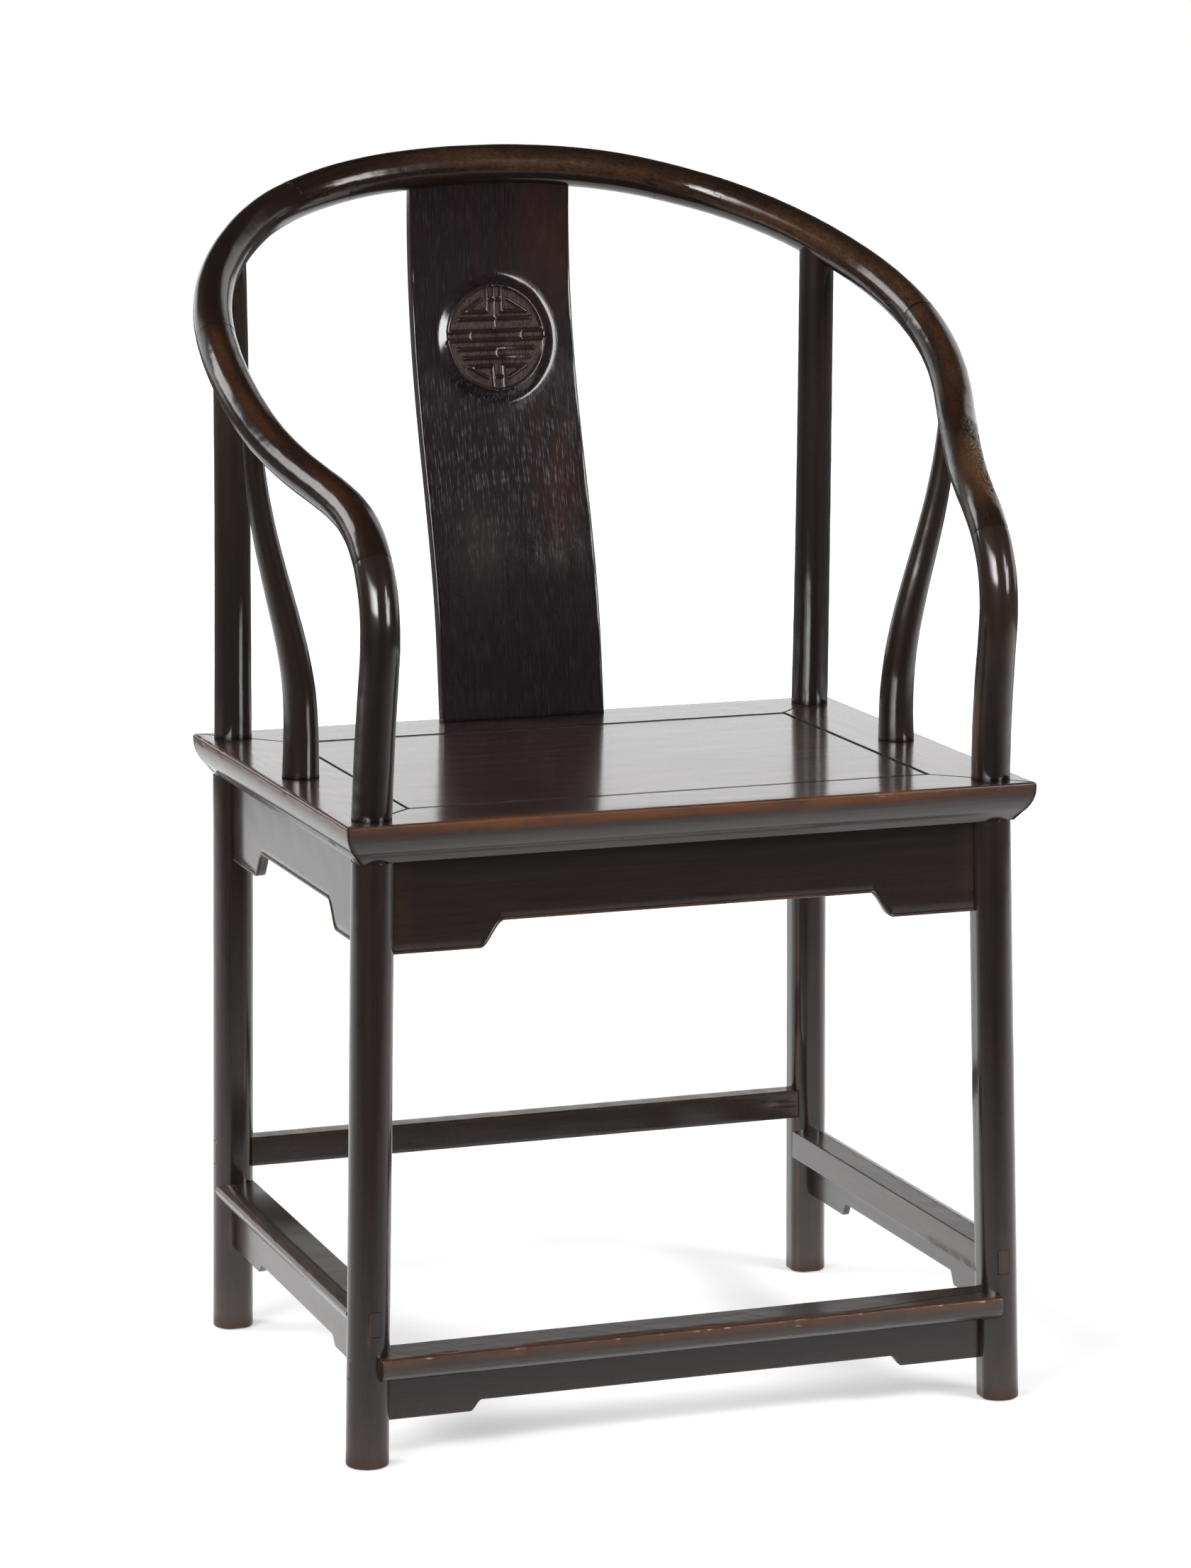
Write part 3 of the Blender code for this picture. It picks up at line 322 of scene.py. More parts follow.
# The skins joined into one mesh, with an inner wall where they are cut open
def addPiece(name, parts, wood, node, wall=0.0, crease=38):
    faces, start = [], 0
    for part in parts:
        quads, caps = gridFaces(part)
        faces += (quads + start).tolist() + [(cap + start).tolist() for cap in caps]
        start += part["shadeAndGrime"].size
    sizes = {"points": 3, "fibre": 3, "finish": 4, "shadeAndGrime": 1}
    values = {key: np.concatenate([part[key].reshape(-1, size) for part in parts]) for key, size in sizes.items()}
    used = np.unique(np.concatenate([np.array(face) for face in faces]))
    if len(used) < start:
        index = np.searchsorted(used, np.arange(start))
        faces = [index[face].tolist() for face in faces]
        values = {key: value[used] for key, value in values.items()}
    mesh = bpy.data.meshes.new(name)
    mesh.from_pydata((values["points"] + np.array([0.0, seatMiddleY, 0.0])).tolist(), [], faces)
    kinds = {"fibre": ("FLOAT_VECTOR", "vector"), "finish": ("FLOAT_COLOR", "color"), "shadeAndGrime": ("FLOAT", "value")}
    for key, (kind, field) in kinds.items():
        attribute = mesh.attributes.new(key, kind, "POINT")
        attribute.data.foreach_set(field, values[key].astype(np.float32).ravel())
    mesh.polygons.foreach_set("use_smooth", np.ones(len(mesh.polygons), bool))
    mesh.set_sharp_from_angle(angle=math.radians(crease))
    piece = bpy.data.objects.new(name, mesh)
    bpy.context.scene.collection.objects.link(piece)
    mesh.materials.append(woods[wood])
    if wall:  # the open rims are sharp edges too
        if "sharp_edge" not in mesh.attributes:
            mesh.attributes.new("sharp_edge", "BOOLEAN", "EDGE")
        sharp = mesh.attributes["sharp_edge"].data
        loops = np.zeros(len(mesh.loops), int)
        mesh.loops.foreach_get("edge_index", loops)
        flags = np.zeros(len(mesh.edges), bool)
        sharp.foreach_get("value", flags)
        sharp.foreach_set("value", flags | (np.bincount(loops, minlength=len(mesh.edges)) == 1))
        shell = piece.modifiers.new("wall", "SOLIDIFY")
        shell.thickness = wall
        shell.offset = -1.0
    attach(piece, "root")
    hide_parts(node)
    return piece


# The spline through rows of x, y, height over the seat and radius, with the distance travelled along it
def centreLine(controls):
    points = spline([(x, y, seatTop + height, radius) for x, y, height, radius in controls], np.linspace(0, 1, 4001))
    steps = np.linalg.norm(np.diff(points[:, :3], axis=0), axis=1)
    travelled = np.concatenate([[0.0], np.cumsum(steps)])
    return {"points": points, "travelled": travelled, "length": travelled[-1]}


# The point and the radius at distances along the line. Under zero they lie on the other side of the middle.
def lineAt(line, distance):
    found = [np.interp(np.abs(distance), line["travelled"], line["points"][:, part]) for part in range(4)]
    return np.stack([found[0] * np.sign(distance + 1e-12), found[1], found[2]], -1), found[3]


# Two directions square to the line: level and upward, or for an upright line nearest to +X and square to both
def lineFrame(line, distance, upright=False):
    step = 0.001
    low = distance - step if line["points"][0, 0] == 0 else np.maximum(distance - step, 0.0)
    ahead = unit(lineAt(line, np.minimum(distance + step, line["length"]))[0] - lineAt(line, low)[0])
    if upright:
        across = unit(np.array([1.0, 0, 0]) - ahead * ahead[:, :1])
        return across, np.cross(ahead, across)
    across = unit(np.cross(ahead, [0.0, 0, 1]))
    return across, np.cross(across, ahead)


# A tube: centre + radius * (cos(turn) * across + sin(turn) * upward) for every distance and turn
def tube(line, distance, turns, side=1, upright=False, change=0.0, shift=0.0):
    centre, radius = lineAt(line, distance)
    across, upward = lineFrame(line, distance, upright)
    radius = radius[:, None] + change
    steps = np.cos(turns)[None, :, None] * across[:, None] + np.sin(turns)[None, :, None] * upward[:, None]
    points = centre[:, None] + radius[..., None] * steps
    along = np.broadcast_to(distance[:, None] + shift, points.shape[:2])
    fibre = np.stack([radius * np.cos(turns), radius * np.sin(turns), along], -1)
    return points * np.array([side, 1, 1]), fibre


# Rings of one radius at stations along a line, as places for ripple
def ringPlaces(turns, radius, along):
    across, out = np.cos(turns)[None, :] * radius, np.sin(turns)[None, :] * radius
    return np.stack(np.broadcast_arrays(across, out, along[:, None]), -1)


# An outline carried straight along stations: grids of along, out and height, and the three together
def carried(outline, stations):
    along, out = np.meshgrid(stations, outline[:, 0], indexing="ij")
    z = np.broadcast_to(outline[:, 1], out.shape).copy()
    return along, out, z, np.stack([along, out, z], -1)


railLine = centreLine(
    (
        (0.0, 0.2940, 0.4625, 0.0175),
        (0.0802, 0.2940, 0.4625, 0.0171),
        (0.1697, 0.2880, 0.4442, 0.0164),
        (0.2346, 0.2253, 0.4195, 0.0160),
        (0.2843, 0.1488, 0.3827, 0.0160),
        (0.3051, 0.0708, 0.3467, 0.0160),
        (0.3047, 0.0044, 0.3073, 0.0159),
        (0.2918, -0.0379, 0.2734, 0.0158),
        (0.2752, -0.0898, 0.2510, 0.0155),
        (0.2559, -0.1496, 0.2327, 0.0153),
        (0.2541, -0.1956, 0.2033, 0.01515),
        (0.2547, -0.2223, 0.1425, 0.01525),
        (0.2555, -0.1986, 0.0782, 0.0156),
        (0.2574, -0.1946, 0.0, 0.0158),
    )
)
sidePostLine = centreLine(
    (
        (0.2572, -0.0017, 0.0, 0.0149),
        (0.2566, -0.0011, 0.0246, 0.0143),
        (0.2557, -0.0063, 0.0738, 0.0132),
        (0.2750, -0.0081, 0.1475, 0.0111),
        (0.2935, -0.0115, 0.2212, 0.0091),
        (0.2964, -0.0121, 0.2704, 0.0075),
        (0.2991, -0.0103, 0.2950, 0.0067),
    )
)
rearPostLine = centreLine(
    (
        (0.2583, 0.1938, 0.0, 0.0157),
        (0.2584, 0.1883, 0.1335, 0.0150),
        (0.2574, 0.1840, 0.2670, 0.0147),
        (0.2590, 0.1860, 0.4000, 0.0147),
    )
)

# Crest rail: five lengths with hooked scarf joints. Places are metres from the middle along the rail, the
# left ones under zero. Turns run round it in degrees, from 0 on its inner side to 90 on top.
crestRail = {
    "backJoint": {"left": 0.161, "right": 0.179},
    "sideJoint": {"left": 0.417, "right": 0.422},
    "elbow": 0.756,
    "halfLap": 0.027,
    "nubLength": 0.0075,
    "nubHeight": 0.0038,
    "seam": 0.00013,
    "arris": 0.00009,
    "pinWide": 0.0025,
    "pinNarrow": 0.0020,
    "spacing": 0.0022,
    "middleRadius": 0.0164,
    "wall": 0.004,
    "planed": 0.00012,
    "inset": 0.00015,  # keeps the unevenness inside the solid
    "browned": (  # place, half length, turn, half width in degrees, strength
        (0.08, 0.10, 5, 38, 1.0), (-0.03, 0.05, 42, 26, 0.55), (0.25, 0.06, -12, 30, 0.7),
        (0.33, 0.06, 25, 34, 1.1), (0.43, 0.05, 55, 34, 0.85), (0.53, 0.05, 85, 34, 0.75),
        (0.70, 0.035, 75, 32, 1.3), (-0.48, 0.025, 108, 18, 0.5), (-0.56, 0.05, 119, 16, 0.6),
        (-0.66, 0.05, 122, 26, 0.4), (-0.25, 0.12, -15, 40, 0.15),
    ),
    "ruddy": (
        (-0.56, 0.06, 119, 16, 0.4), (-0.68, 0.06, 122, 28, 0.3), (-0.47, 0.03, 108, 20, 0.3),
        (0.52, 0.06, 80, 34, 0.2), (0.60, 0.04, 85, 30, 0.25),
    ),
    "nicks": (  # place, turn, half width in degrees
        (0.152, -51, 9), (0.474, 57, 7), (0.540, 73, 8), (0.536, 102, 6),
        (0.698, 76, 9), (-0.428, -174, 16), (-0.704, 87, 11), (-0.686, 108, 8),
    ),
    "nickHalf": 0.0004,
    "nickDepth": 0.0007,
    "paleSeam": {"at": -0.161, "reach": 0.045, "turns": (15, 125)},
    "torn": {
        "from": 0.604, "to": 0.742, "fadeIn": 0.012, "fadeOut": 0.03, "bare": (0.625, 0.655),
        "turn": 118, "spread": 44, "depth": 0.0015,
    },
}


# Turns with a line on every seam: the nub's and the pin's at both sides, and even ones between
def crestTurns():
    radius = crestRail["middleRadius"]
    seam = crestRail["seam"] / radius
    nub = math.asin(crestRail["nubHeight"] / radius)
    turns = []
    for middle, pinHalf in ((0.0, crestRail["pinWide"]), (math.pi, crestRail["pinNarrow"])):
        pin = (pinHalf + crestRail["seam"]) / radius
        steps = [seam, 0.5 * (seam + pin), pin, nub - seam, nub + seam]
        turns += [middle - step for step in steps[::-1]] + [middle + step for step in steps]
    edge = nub + seam
    for start in (0.0, math.pi):
        turns += list(np.linspace(start + edge, start + math.pi - edge, 30)[1:-1])
    return np.sort(np.mod(np.array(turns) + edge, 2 * math.pi)) - edge


# Distances along the rail with a line on every seam and nick, and finer ones where the arm is torn
def crestStations(start, end, side, joints, nicks, isTorn):
    half, tip, seam = crestRail["halfLap"], crestRail["halfLap"] + crestRail["nubLength"], crestRail["seam"]
    steps = [turn * size + gap for turn in (-1, 1) for size in (half, tip) for gap in (-seam, seam)]
    steps += [turn * (crestRail[pin] + seam) for turn in (-1, 1) for pin in ("pinWide", "pinNarrow")]
    wanted = [sign * (joint + step) for joint, _, sign in joints for step in steps]
    wanted += [side * at + step for at, _, _ in nicks for step in (-0.0006, -0.0002, 0.0002, 0.0006)]
    distance = gridLines(start, end, crestRail["spacing"], wanted)
    if isTorn:
        fine = gridLines(crestRail["torn"]["from"], crestRail["torn"]["to"], crestRail["spacing"] / 2)
        distance = np.unique(np.concatenate([distance, fine]).round(7))
    return distance


# Whether a place near a joint belongs to the length on the middle's side of it
def middleOwns(along, height):
    half, tip, nub = crestRail["halfLap"], crestRail["halfLap"] + crestRail["nubLength"], crestRail["nubHeight"]
    above = (height >= 0) & ((along < half) | ((height < nub) & (along < tip)))
    below = (height < 0) & ((along < -tip) | ((height < -nub) & (along < -half)))
    return above | below


# The faces of the tube that this length keeps: its own side of each seam, and nothing over a pin's hole
def crestFaces(distance, turns, joints):
    seam, radius = crestRail["seam"], crestRail["middleRadius"]
    middle = 0.5 * (distance[1:] + distance[:-1])[:, None]
    ends = np.append(turns, turns[0] + 2 * math.pi)
    turn = 0.5 * (ends[1:] + ends[:-1])[None, :]
    keep = np.ones((len(distance) - 1, len(turns)), bool)
    for joint, inner, sign in joints:
        for alongShift in (-0.9, 0, 0.9):
            for turnShift in (-0.9, 0, 0.9):
                along = sign * middle - joint + alongShift * seam
                owned = middleOwns(along, radius * np.sin(turn + turnShift * seam / radius))
                keep &= (owned if inner else ~owned) | (middle * sign <= 0)
        fromPin = np.abs(turn - np.round(turn / math.pi) * math.pi)
        for pin, faces in (("pinWide", np.cos(turn) > 0), ("pinNarrow", np.cos(turn) < 0)):
            hole = crestRail[pin] + seam
            keep &= ~((np.abs(sign * middle - joint) < hole) & (fromPin < hole / radius) & faces)
    return keep


# The torn, dulled patch on the right arm: grooves along fibres that twist across the rail, and bare wood
def tearArm(distance, turns, where, points, fibre):
    torn, radius = crestRail["torn"], crestRail["middleRadius"]
    patch = smooth(torn["from"], torn["from"] + torn["fadeIn"], distance)
    patch = patch * smooth(torn["to"], torn["to"] - torn["fadeOut"], distance)
    patch = patch[:, None] * bump(np.degrees(turns)[None, :], torn["turn"], torn["spread"])
    twisted = distance[:, None] - 0.35 * radius * turns[None, :]
    grooves = np.stack([0.18 * twisted, radius * turns[None, :] + 0.35 * distance[:, None], 0 * twisted], -1)
    ragged = np.abs(ripple(grooves, 0.0045, 11)) + 0.6 * np.abs(ripple(where, 0.006, 12))
    outward = unit(points - lineAt(railLine, distance)[0][:, None])
    points = points - outward * (torn["depth"] * patch * ragged)[..., None]
    around = radius * turns[None, :] + 0.7 * distance[:, None]
    slanted = np.stack([around, 0.6 * radius * turns[None, :] + 0.0 * twisted, 0.8 * twisted], -1)
    fibre = fibre + patch[..., None] * (slanted - fibre)
    bare = patch * smooth(*torn["bare"], distance)[:, None]
    return points, fibre, patch, bare, ragged


# A tube round the rail's line whose radius is uneven, eased at its rims and cut by nicks
def crestLength(name, start, end, side, joints):
    radius, isTorn = crestRail["middleRadius"], "Arm" in name and side > 0
    nicks = [nick for nick in crestRail["nicks"] if start < side * nick[0] < end]
    distance = crestStations(start, end, side, joints, nicks, isTorn)
    turns = crestTurns()
    keep = crestFaces(distance, turns, joints)
    count = np.zeros((len(distance), len(turns)), int)
    for rows in (slice(0, -1), slice(1, None)):
        count[rows] += keep
        count[rows] += np.roll(keep, 1, axis=1)
    rim = (count > 0) & (count < 4)
    where = np.stack(np.broadcast_arrays(distance[:, None], np.cos(turns) * radius, np.sin(turns) * radius), -1)
    uneven = crestRail["planed"] * ripple(where, 0.05, 3 + int(1000 * abs(end)))
    place, degrees = side * distance[:, None], np.degrees(turns)[None, :]
    cut = 0.0 * uneven
    for at, turn, width in nicks:
        cut = cut + bump(place, at, crestRail["nickHalf"]) * smooth(width, 0.4 * width, np.abs(degrees - turn))
    change = uneven - crestRail["inset"] - crestRail["arris"] * rim - crestRail["nickDepth"] * cut
    points, fibre = tube(railLine, distance, turns, side, change=change, shift=0.9 * len(name))
    patchy = np.clip(0.85 + 0.35 * ripple(where, 0.03, 7 + int(1000 * abs(start))), 0, 1.2) * (1 - rim)
    handled, ruddy = (
        patchy * sum(
            share * bump(place, at, reach) * bump(degrees, turn, width) for at, reach, turn, width, share in spots
        )
        for spots in (crestRail["browned"], crestRail["ruddy"])
    )
    handled = (handled + 0.04) * (1 - cut)
    rough = 0.3 * rim + 0.5 * cut
    pale = crestRail["paleSeam"]
    low, high = pale["turns"]
    dusty = 1.5 * rim * (np.abs(place - pale["at"]) < pale["reach"]) * (degrees > low) * (degrees < high)
    if isTorn:
        points, fibre, patch, bare, ragged = tearArm(distance, turns, where, points, fibre)
        rough = rough + 0.25 * patch + 0.5 * bare
        handled = handled + bare
        dusty = dusty + 0.55 * bare * np.clip(0.4 + ragged, 0, 1)
    return skin(points, fibre, (handled, ruddy, rough, dusty), capped=False, keep=keep)


# The pin: a square bar through the joint, its ends worked flush with the round. Its section is a circle
# divided by the tenth-power mean of its two coordinates, which leaves small round corners.
def crestPin(side, joint):
    centre, radius = lineAt(railLine, np.array([joint]))
    across, upward = lineFrame(railLine, np.array([joint]))
    ahead = np.cross(upward, across)
    turn = np.linspace(0, 2 * math.pi, 24, endpoint=False)
    square = np.stack([np.cos(turn), np.sin(turn)], -1)
    square = square / (np.abs(square) ** 10).sum(-1, keepdims=True) ** 0.1
    reach = radius[0]
    rows = [(-1, 0.0003, 0.55), (-1, 0.00032, 0.9), (-1, 0.0006, 1.0), (-1, 0.004, 1.0)]
    rows += [(1, 0.004, 1.0), (1, 0.0006, 1.0), (1, 0.00032, 0.9), (1, 0.0003, 0.55)]
    points = []
    for end, depth, size in rows:
        half = size * (crestRail["pinWide"] if end > 0 else crestRail["pinNarrow"])
        middle = centre[0] + end * (reach - depth) * across[0]
        points.append(middle + half * (square[:, :1] * ahead[0] + square[:, 1:] * upward[0]))
    points = np.array(points)
    fibre = points[..., [1, 2, 0]] - centre[0][[1, 2, 0]]
    return skin(points * np.array([side, 1, 1]), fibre, (0.2, 0.1, 0.1))


# Every length reaches past its joints by the lap and the nub
def buildCrest():
    back, aside, elbow = crestRail["backJoint"], crestRail["sideJoint"], crestRail["elbow"]
    reach = crestRail["halfLap"] + crestRail["nubLength"]
    joints = [(back["left"], True, -1), (back["right"], True, 1)]
    centre = crestLength("crestCentre", -back["left"] - reach, back["right"] + reach, 1, joints)
    addPiece("crestCentre", [centre], "crestRail", "crest_rail_center", crestRail["wall"])
    for which, side in sideTurns.items():
        label = which.capitalize()
        joints = [(back[which], False, 1), (aside[which], True, 1)]
        part = crestLength("crestBack" + label, back[which] - reach, aside[which] + reach, side, joints)
        addPiece("crestBack" + label, [part], "crestRail", "crest_rail_back_" + which, crestRail["wall"])
        joints = [(aside[which], False, 1)]
        part = crestLength("crestArm" + label, aside[which] - reach, elbow - crestRail["seam"], side, joints)
        addPiece("crestArm" + label, [part], "crestRail", "crest_rail_arm_" + which, crestRail["wall"])
        for place, joint in (("Back", back[which]), ("Side", aside[which])):
            node = "crest_pin_" + place.lower() + "_" + which
            addPiece("crestPin" + place + label, [crestPin(side, joint)], "crestRail", node)


buildCrest()
print("crest rail made")

# Legs and posts: square on the two inner sides, round on the two outer ones, and round above the seat.
# Turns run from 0 on the side's outer face to 90 on the front's or the rear's.
legs = {
    "radius": 0.0170,
    "flat": 0.0156,
    "footArris": 0.0016,
    "cornerPower": 26,
    "creasePower": 70,
    "measuredTop": 0.471,
    "tenonHalf": 0.005,
    "groove": 0.00035,
    "grooveHalf": 0.0003,
    "spacing": 0.004,
    "planed": 0.00013,
    "postInset": 0.0001,  # keeps the unevenness inside the solid
    "postPlaned": 0.00012,
    "elbowRadius": 0.0152,
    "stains": {  # turn, height, half width in degrees, half height, strength
        ("front", -1): ((74, 0.108, 4, 0.014, 0.4), (104, 0.082, 5, 0.010, 0.8)),
        ("front", 1): ((95, 0.116, 9, 0.013, 0.4),),
        ("rear", -1): ((-67, 0.086, 6, 0.018, 0.6), (20, 0.010, 60, 0.030, 0.3)),
        ("rear", 1): ((-105, 0.141, 3, 0.011, 0.5),),
    },
    "front": {
        "top": (0.2569, -0.1948), "foot": (0.2676, -0.2015), "out": -1,
        "acrossTenon": (0.0709, 0.0873), "alongTenon": (0.1060, 0.1258),
        "root": (0.2572, -0.1948, 0.4772, 0.0154),
    },
    "rear": {
        "top": (0.2575, 0.1976), "foot": (0.2622, 0.2043), "out": 1,
        "acrossTenon": (0.1432, 0.1635), "alongTenon": (0.1060, 0.1258),
        "root": (0.2580, 0.1969, 0.4772, 0.0150),
    },
}


# The leg's middle runs straight from its foot to the height it was measured at
def legXY(end, z):
    share = np.asarray(z, float) / legs["measuredTop"]
    top, foot = legs[end]["top"], legs[end]["foot"]
    return foot[0] + (top[0] - foot[0]) * share, foot[1] + (top[1] - foot[1]) * share


# Turns with lines beside the tenons' ends, an even arc over the round and closer ones near the arrises
def legTurns():
    tenon = math.asin(legs["tenonHalf"] / legs["radius"])
    side = legs["grooveHalf"] / legs["radius"]
    edges = [middle + turn * tenon for middle in (0, math.pi / 2) for turn in (-1, 1)]
    wanted = [edge + step for edge in edges for step in (-side, 0, side)]
    crease = math.acos(legs["flat"] / legs["radius"])
    arc = gridLines(-math.pi / 2 + crease, math.pi - crease, 0.085, wanted)
    flat = 1.25 * math.pi - (math.pi - crease)
    shares = np.array([0.04, 0.10, 0.22, 0.36, 0.52, 0.66, 0.78, 0.87, 0.93, 0.965, 0.985])
    first = math.pi - crease + shares * flat
    second = 2.5 * math.pi - first[::-1]
    return np.concatenate([arc, first, [1.25 * math.pi], second])


# The section's reach at each turn: the smaller of the round's radius and the distance to a flat side
def legReach(turns, radius, flat):
    inX, inY = np.maximum(-np.cos(turns), 0), np.maximum(-np.sin(turns), 0)
    power, crease = legs["cornerPower"], legs["creasePower"]
    square = (inX**power + inY**power) ** (1 / power) / flat
    return (radius**-crease + square**crease) ** (-1 / crease)


# Rings of that section from the foot to the seat, with a fine groove round each tenon's end
def legParts(end, side, seed):
    about = legs[end]
    turns = legTurns()
    arris = legs["footArris"]
    curve = np.linspace(0, math.pi / 2, 5)
    foot = np.stack([arris * (1 - np.cos(curve)), arris * (1 - np.sin(curve))], -1)
    tenons = ((about["acrossTenon"], 0.0), (about["alongTenon"], math.pi / 2))
    groove = legs["grooveHalf"]
    wanted = [z + step for tenon, _ in tenons for z in tenon for step in (-groove, 0, groove)]
    heights = np.concatenate([foot[:-1, 0], gridLines(arris, legTop, legs["spacing"], wanted)])
    inset = np.concatenate([foot[:-1, 1], np.zeros(len(heights) - len(foot) + 1)])
    reach = legReach(turns[None, :], legs["radius"] - inset[:, None], legs["flat"] - inset[:, None])
    half = math.asin(legs["tenonHalf"] / legs["radius"])
    tenonEnd = 0.0
    for (low, high), middle in tenons:
        off = np.abs(turns - middle)
        inside = (heights > low - 1e-6) & (heights < high + 1e-6)
        rims = (np.abs(off - half) < 1e-4)[None, :] & inside[:, None]
        level = (np.abs(heights - low) < 1e-6) | (np.abs(heights - high) < 1e-6)
        ends = level[:, None] & (off < half + 1e-4)[None, :]
        reach = reach - legs["groove"] * (rims | ends)
        between = ((heights > low) & (heights < high))[:, None]
        tenonEnd = tenonEnd + smooth(half + 0.02, half - 0.02, off)[None, :] * between
    reach = reach + legs["planed"] * ripple(ringPlaces(turns, 0.017, 0.4 * heights), 0.05, seed)
    x, y = legXY(end, heights)
    x, y = x[:, None] + reach * np.cos(turns), y[:, None] + about["out"] * reach * np.sin(turns)
    points = np.stack([x, y, np.broadcast_to(heights[:, None], reach.shape)], -1)
    fibre = np.stack([reach * np.cos(turns), reach * np.sin(turns), points[..., 2] + 0.7 * seed], -1)
    corner = bump(turns, 1.25 * math.pi, 0.06)
    crease = math.acos(legs["flat"] / legs["radius"])
    creases = bump(turns, math.pi - crease, 0.05) + bump(turns, 1.5 * math.pi + crease, 0.05)
    worn = smooth(0.016, 0.0, heights)[:, None]
    rubbed = np.clip(0.6 * corner + 0.3 * creases + 0.4 * worn, 0, 1)
    for turn, height, width, tall, share in legs["stains"][end, side]:
        off = (np.degrees(turns)[None, :] - turn + 180) % 360 - 180
        rubbed = rubbed + share * bump(off, 0, width) * bump(heights, height, tall)[:, None]
    rubbed = np.clip(rubbed + 0.08 * tenonEnd + 0.15 * smooth(0.06, 0.0, heights)[:, None], 0, 1)
    every = np.ones(reach.shape)
    return turns, points, fibre, np.stack([0.12 * every, rubbed, 0.7 * worn * every], -1)


# The round post above: rings whose points keep the leg section's turns, carried along a centre line
def postParts(end, turns, line, distance, seed):
    centre, radius = lineAt(line, distance)
    across, along = lineFrame(line, distance, True)
    along = along * np.sign(along[:, 1:2])
    radius = radius[:, None] - legs["postInset"]
    radius = radius + legs["postPlaned"] * ripple(ringPlaces(turns, 0.016, distance), 0.05, seed + 50)
    steps = np.cos(turns)[None, :, None] * across[:, None]
    steps = steps + legs[end]["out"] * np.sin(turns)[None, :, None] * along[:, None]
    points = centre[:, None] + radius[..., None] * steps
    travelled = np.abs(distance - distance[0])
    upward = np.broadcast_to((travelled + seatTop + 0.7 * seed)[:, None], radius.shape)
    fibre = np.stack([radius * np.cos(turns), radius * np.sin(turns), upward], -1)
    handled = 0.2 * smooth(0.10, 0.30, travelled)[:, None] * np.ones(radius.shape)
    return points, fibre, np.stack([handled, 0 * radius, 0 * radius], -1)


# Each leg is one piece of wood: the leg's rings, one ring where it enters the seat, and the post's rings
def buildLegs():
    for number, (which, side) in enumerate(sideTurns.items()):
        for end in ("front", "rear"):
            seed = 2 * number + (end == "rear") + 1
            turns, low, lowFibre, lowFinish = legParts(end, side, seed)
            line = railLine if end == "front" else rearPostLine
            if end == "front":
                distance = gridLines(crestRail["elbow"] + crestRail["seam"], line["length"], 0.0025)[::-1]
            else:
                distance = gridLines(0.0, line["length"], 0.006)
            x, y, z, radius = legs[end]["root"]
            out = legs[end]["out"]
            root = np.stack([x + radius * np.cos(turns), y + out * radius * np.sin(turns), z + 0 * turns], -1)[None]
            high, highFibre, highFinish = postParts(end, turns, line, distance, seed)
            if end == "front":  # its top is eased where the rail stands on it
                middle = high[-1].mean(0)
                high[-1] = middle + (high[-1] - middle) * (1 - crestRail["arris"] / legs["elbowRadius"])
            points = np.concatenate([low, root, high]) * np.array([side, 1, 1])
            fibre = np.concatenate([lowFibre, lowFibre[-1:], highFibre])
            finish = np.concatenate([lowFinish, lowFinish[-1:], highFinish])
            z = points[..., 2]
            if end == "front" and side > 0:  # this post is rubbed to a red-brown, most of all low and inside
                strip = bump(np.degrees(turns), 172, 20) * bump(z, 0.552, 0.034)
                finish[..., 1] += 0.12 * bump(z, 0.63, 0.09) + 0.75 * strip
            # Painted shade: the post is darkened where it goes into the seat.
            part = skin(points, fibre, np.moveaxis(finish, -1, 0), shadeAndGrime=smooth(0.0035, 0.0, np.abs(z - seatTop)))
            addPiece(end + "Leg" + which.capitalize(), [part], "framework", end + "_leg_" + which)


buildLegs()


# Slender tubes along their S-shaped line
def buildSidePosts():
    for number, (which, side) in enumerate(sideTurns.items()):
        turns = np.linspace(0, 2 * math.pi, 56, endpoint=False)
        distance = gridLines(0.0, sidePostLine["length"], 0.0035)
        uneven = 0.0001 * ripple(ringPlaces(turns, 0.014, distance), 0.04, 60 + number)
        points, fibre = tube(sidePostLine, distance, turns, side, True, uneven, 0.31 + number)
        # Painted shade: the post is darkened where it goes into the seat.
        shadeAndGrime = smooth(0.0035, 0.0, np.abs(points[..., 2] - seatTop))
        part = skin(points, fibre, (0.1, 0.0, 0.0), shadeAndGrime=shadeAndGrime)
        addPiece("sidePost" + which.capitalize(), [part], "framework", "side_post_" + which)


buildSidePosts()
print("legs and posts made")

# Seat: a mitred frame with a moulded edge, and the floating panel
seat = {
    "width": 0.570,
    "depth": 0.445,
    "edge": (  # inset from the rim and depth under the top, from the underside upwards
        (0.0138, 0.0317), (0.0090, 0.0255), (0.0052, 0.021), (0.0020, 0.015), (0.0003, 0.009),
        (0.0, 0.004), (0.0, 0.0018), (0.0005, 0.0005), (0.0016, 0.0),
    ),
    "railWidth": {"front": 0.0605, "rear": 0.070, "side": 0.0665},
    "mitreGap": 0.00016,
    "mitreDrop": 0.00018,
    "arris": 0.0004,
    "panelGap": 0.0015,
    "panelEase": 0.0005,
    "tongue": (0.0045, 0.0035),
    "tenon": {"front": (0.1460, 0.1620), "rear": (0.1265, 0.1525), "heights": (0.4845, 0.4990)},
    "spacing": 0.004,
    "wear": 0.0007,
    "batten": {
        "from": -0.1615, "to": 0.1520, "out": 0.092, "halfTop": 0.015, "halfLow": 0.0135,
        "heights": (0.4995, 0.4835),
    },
}


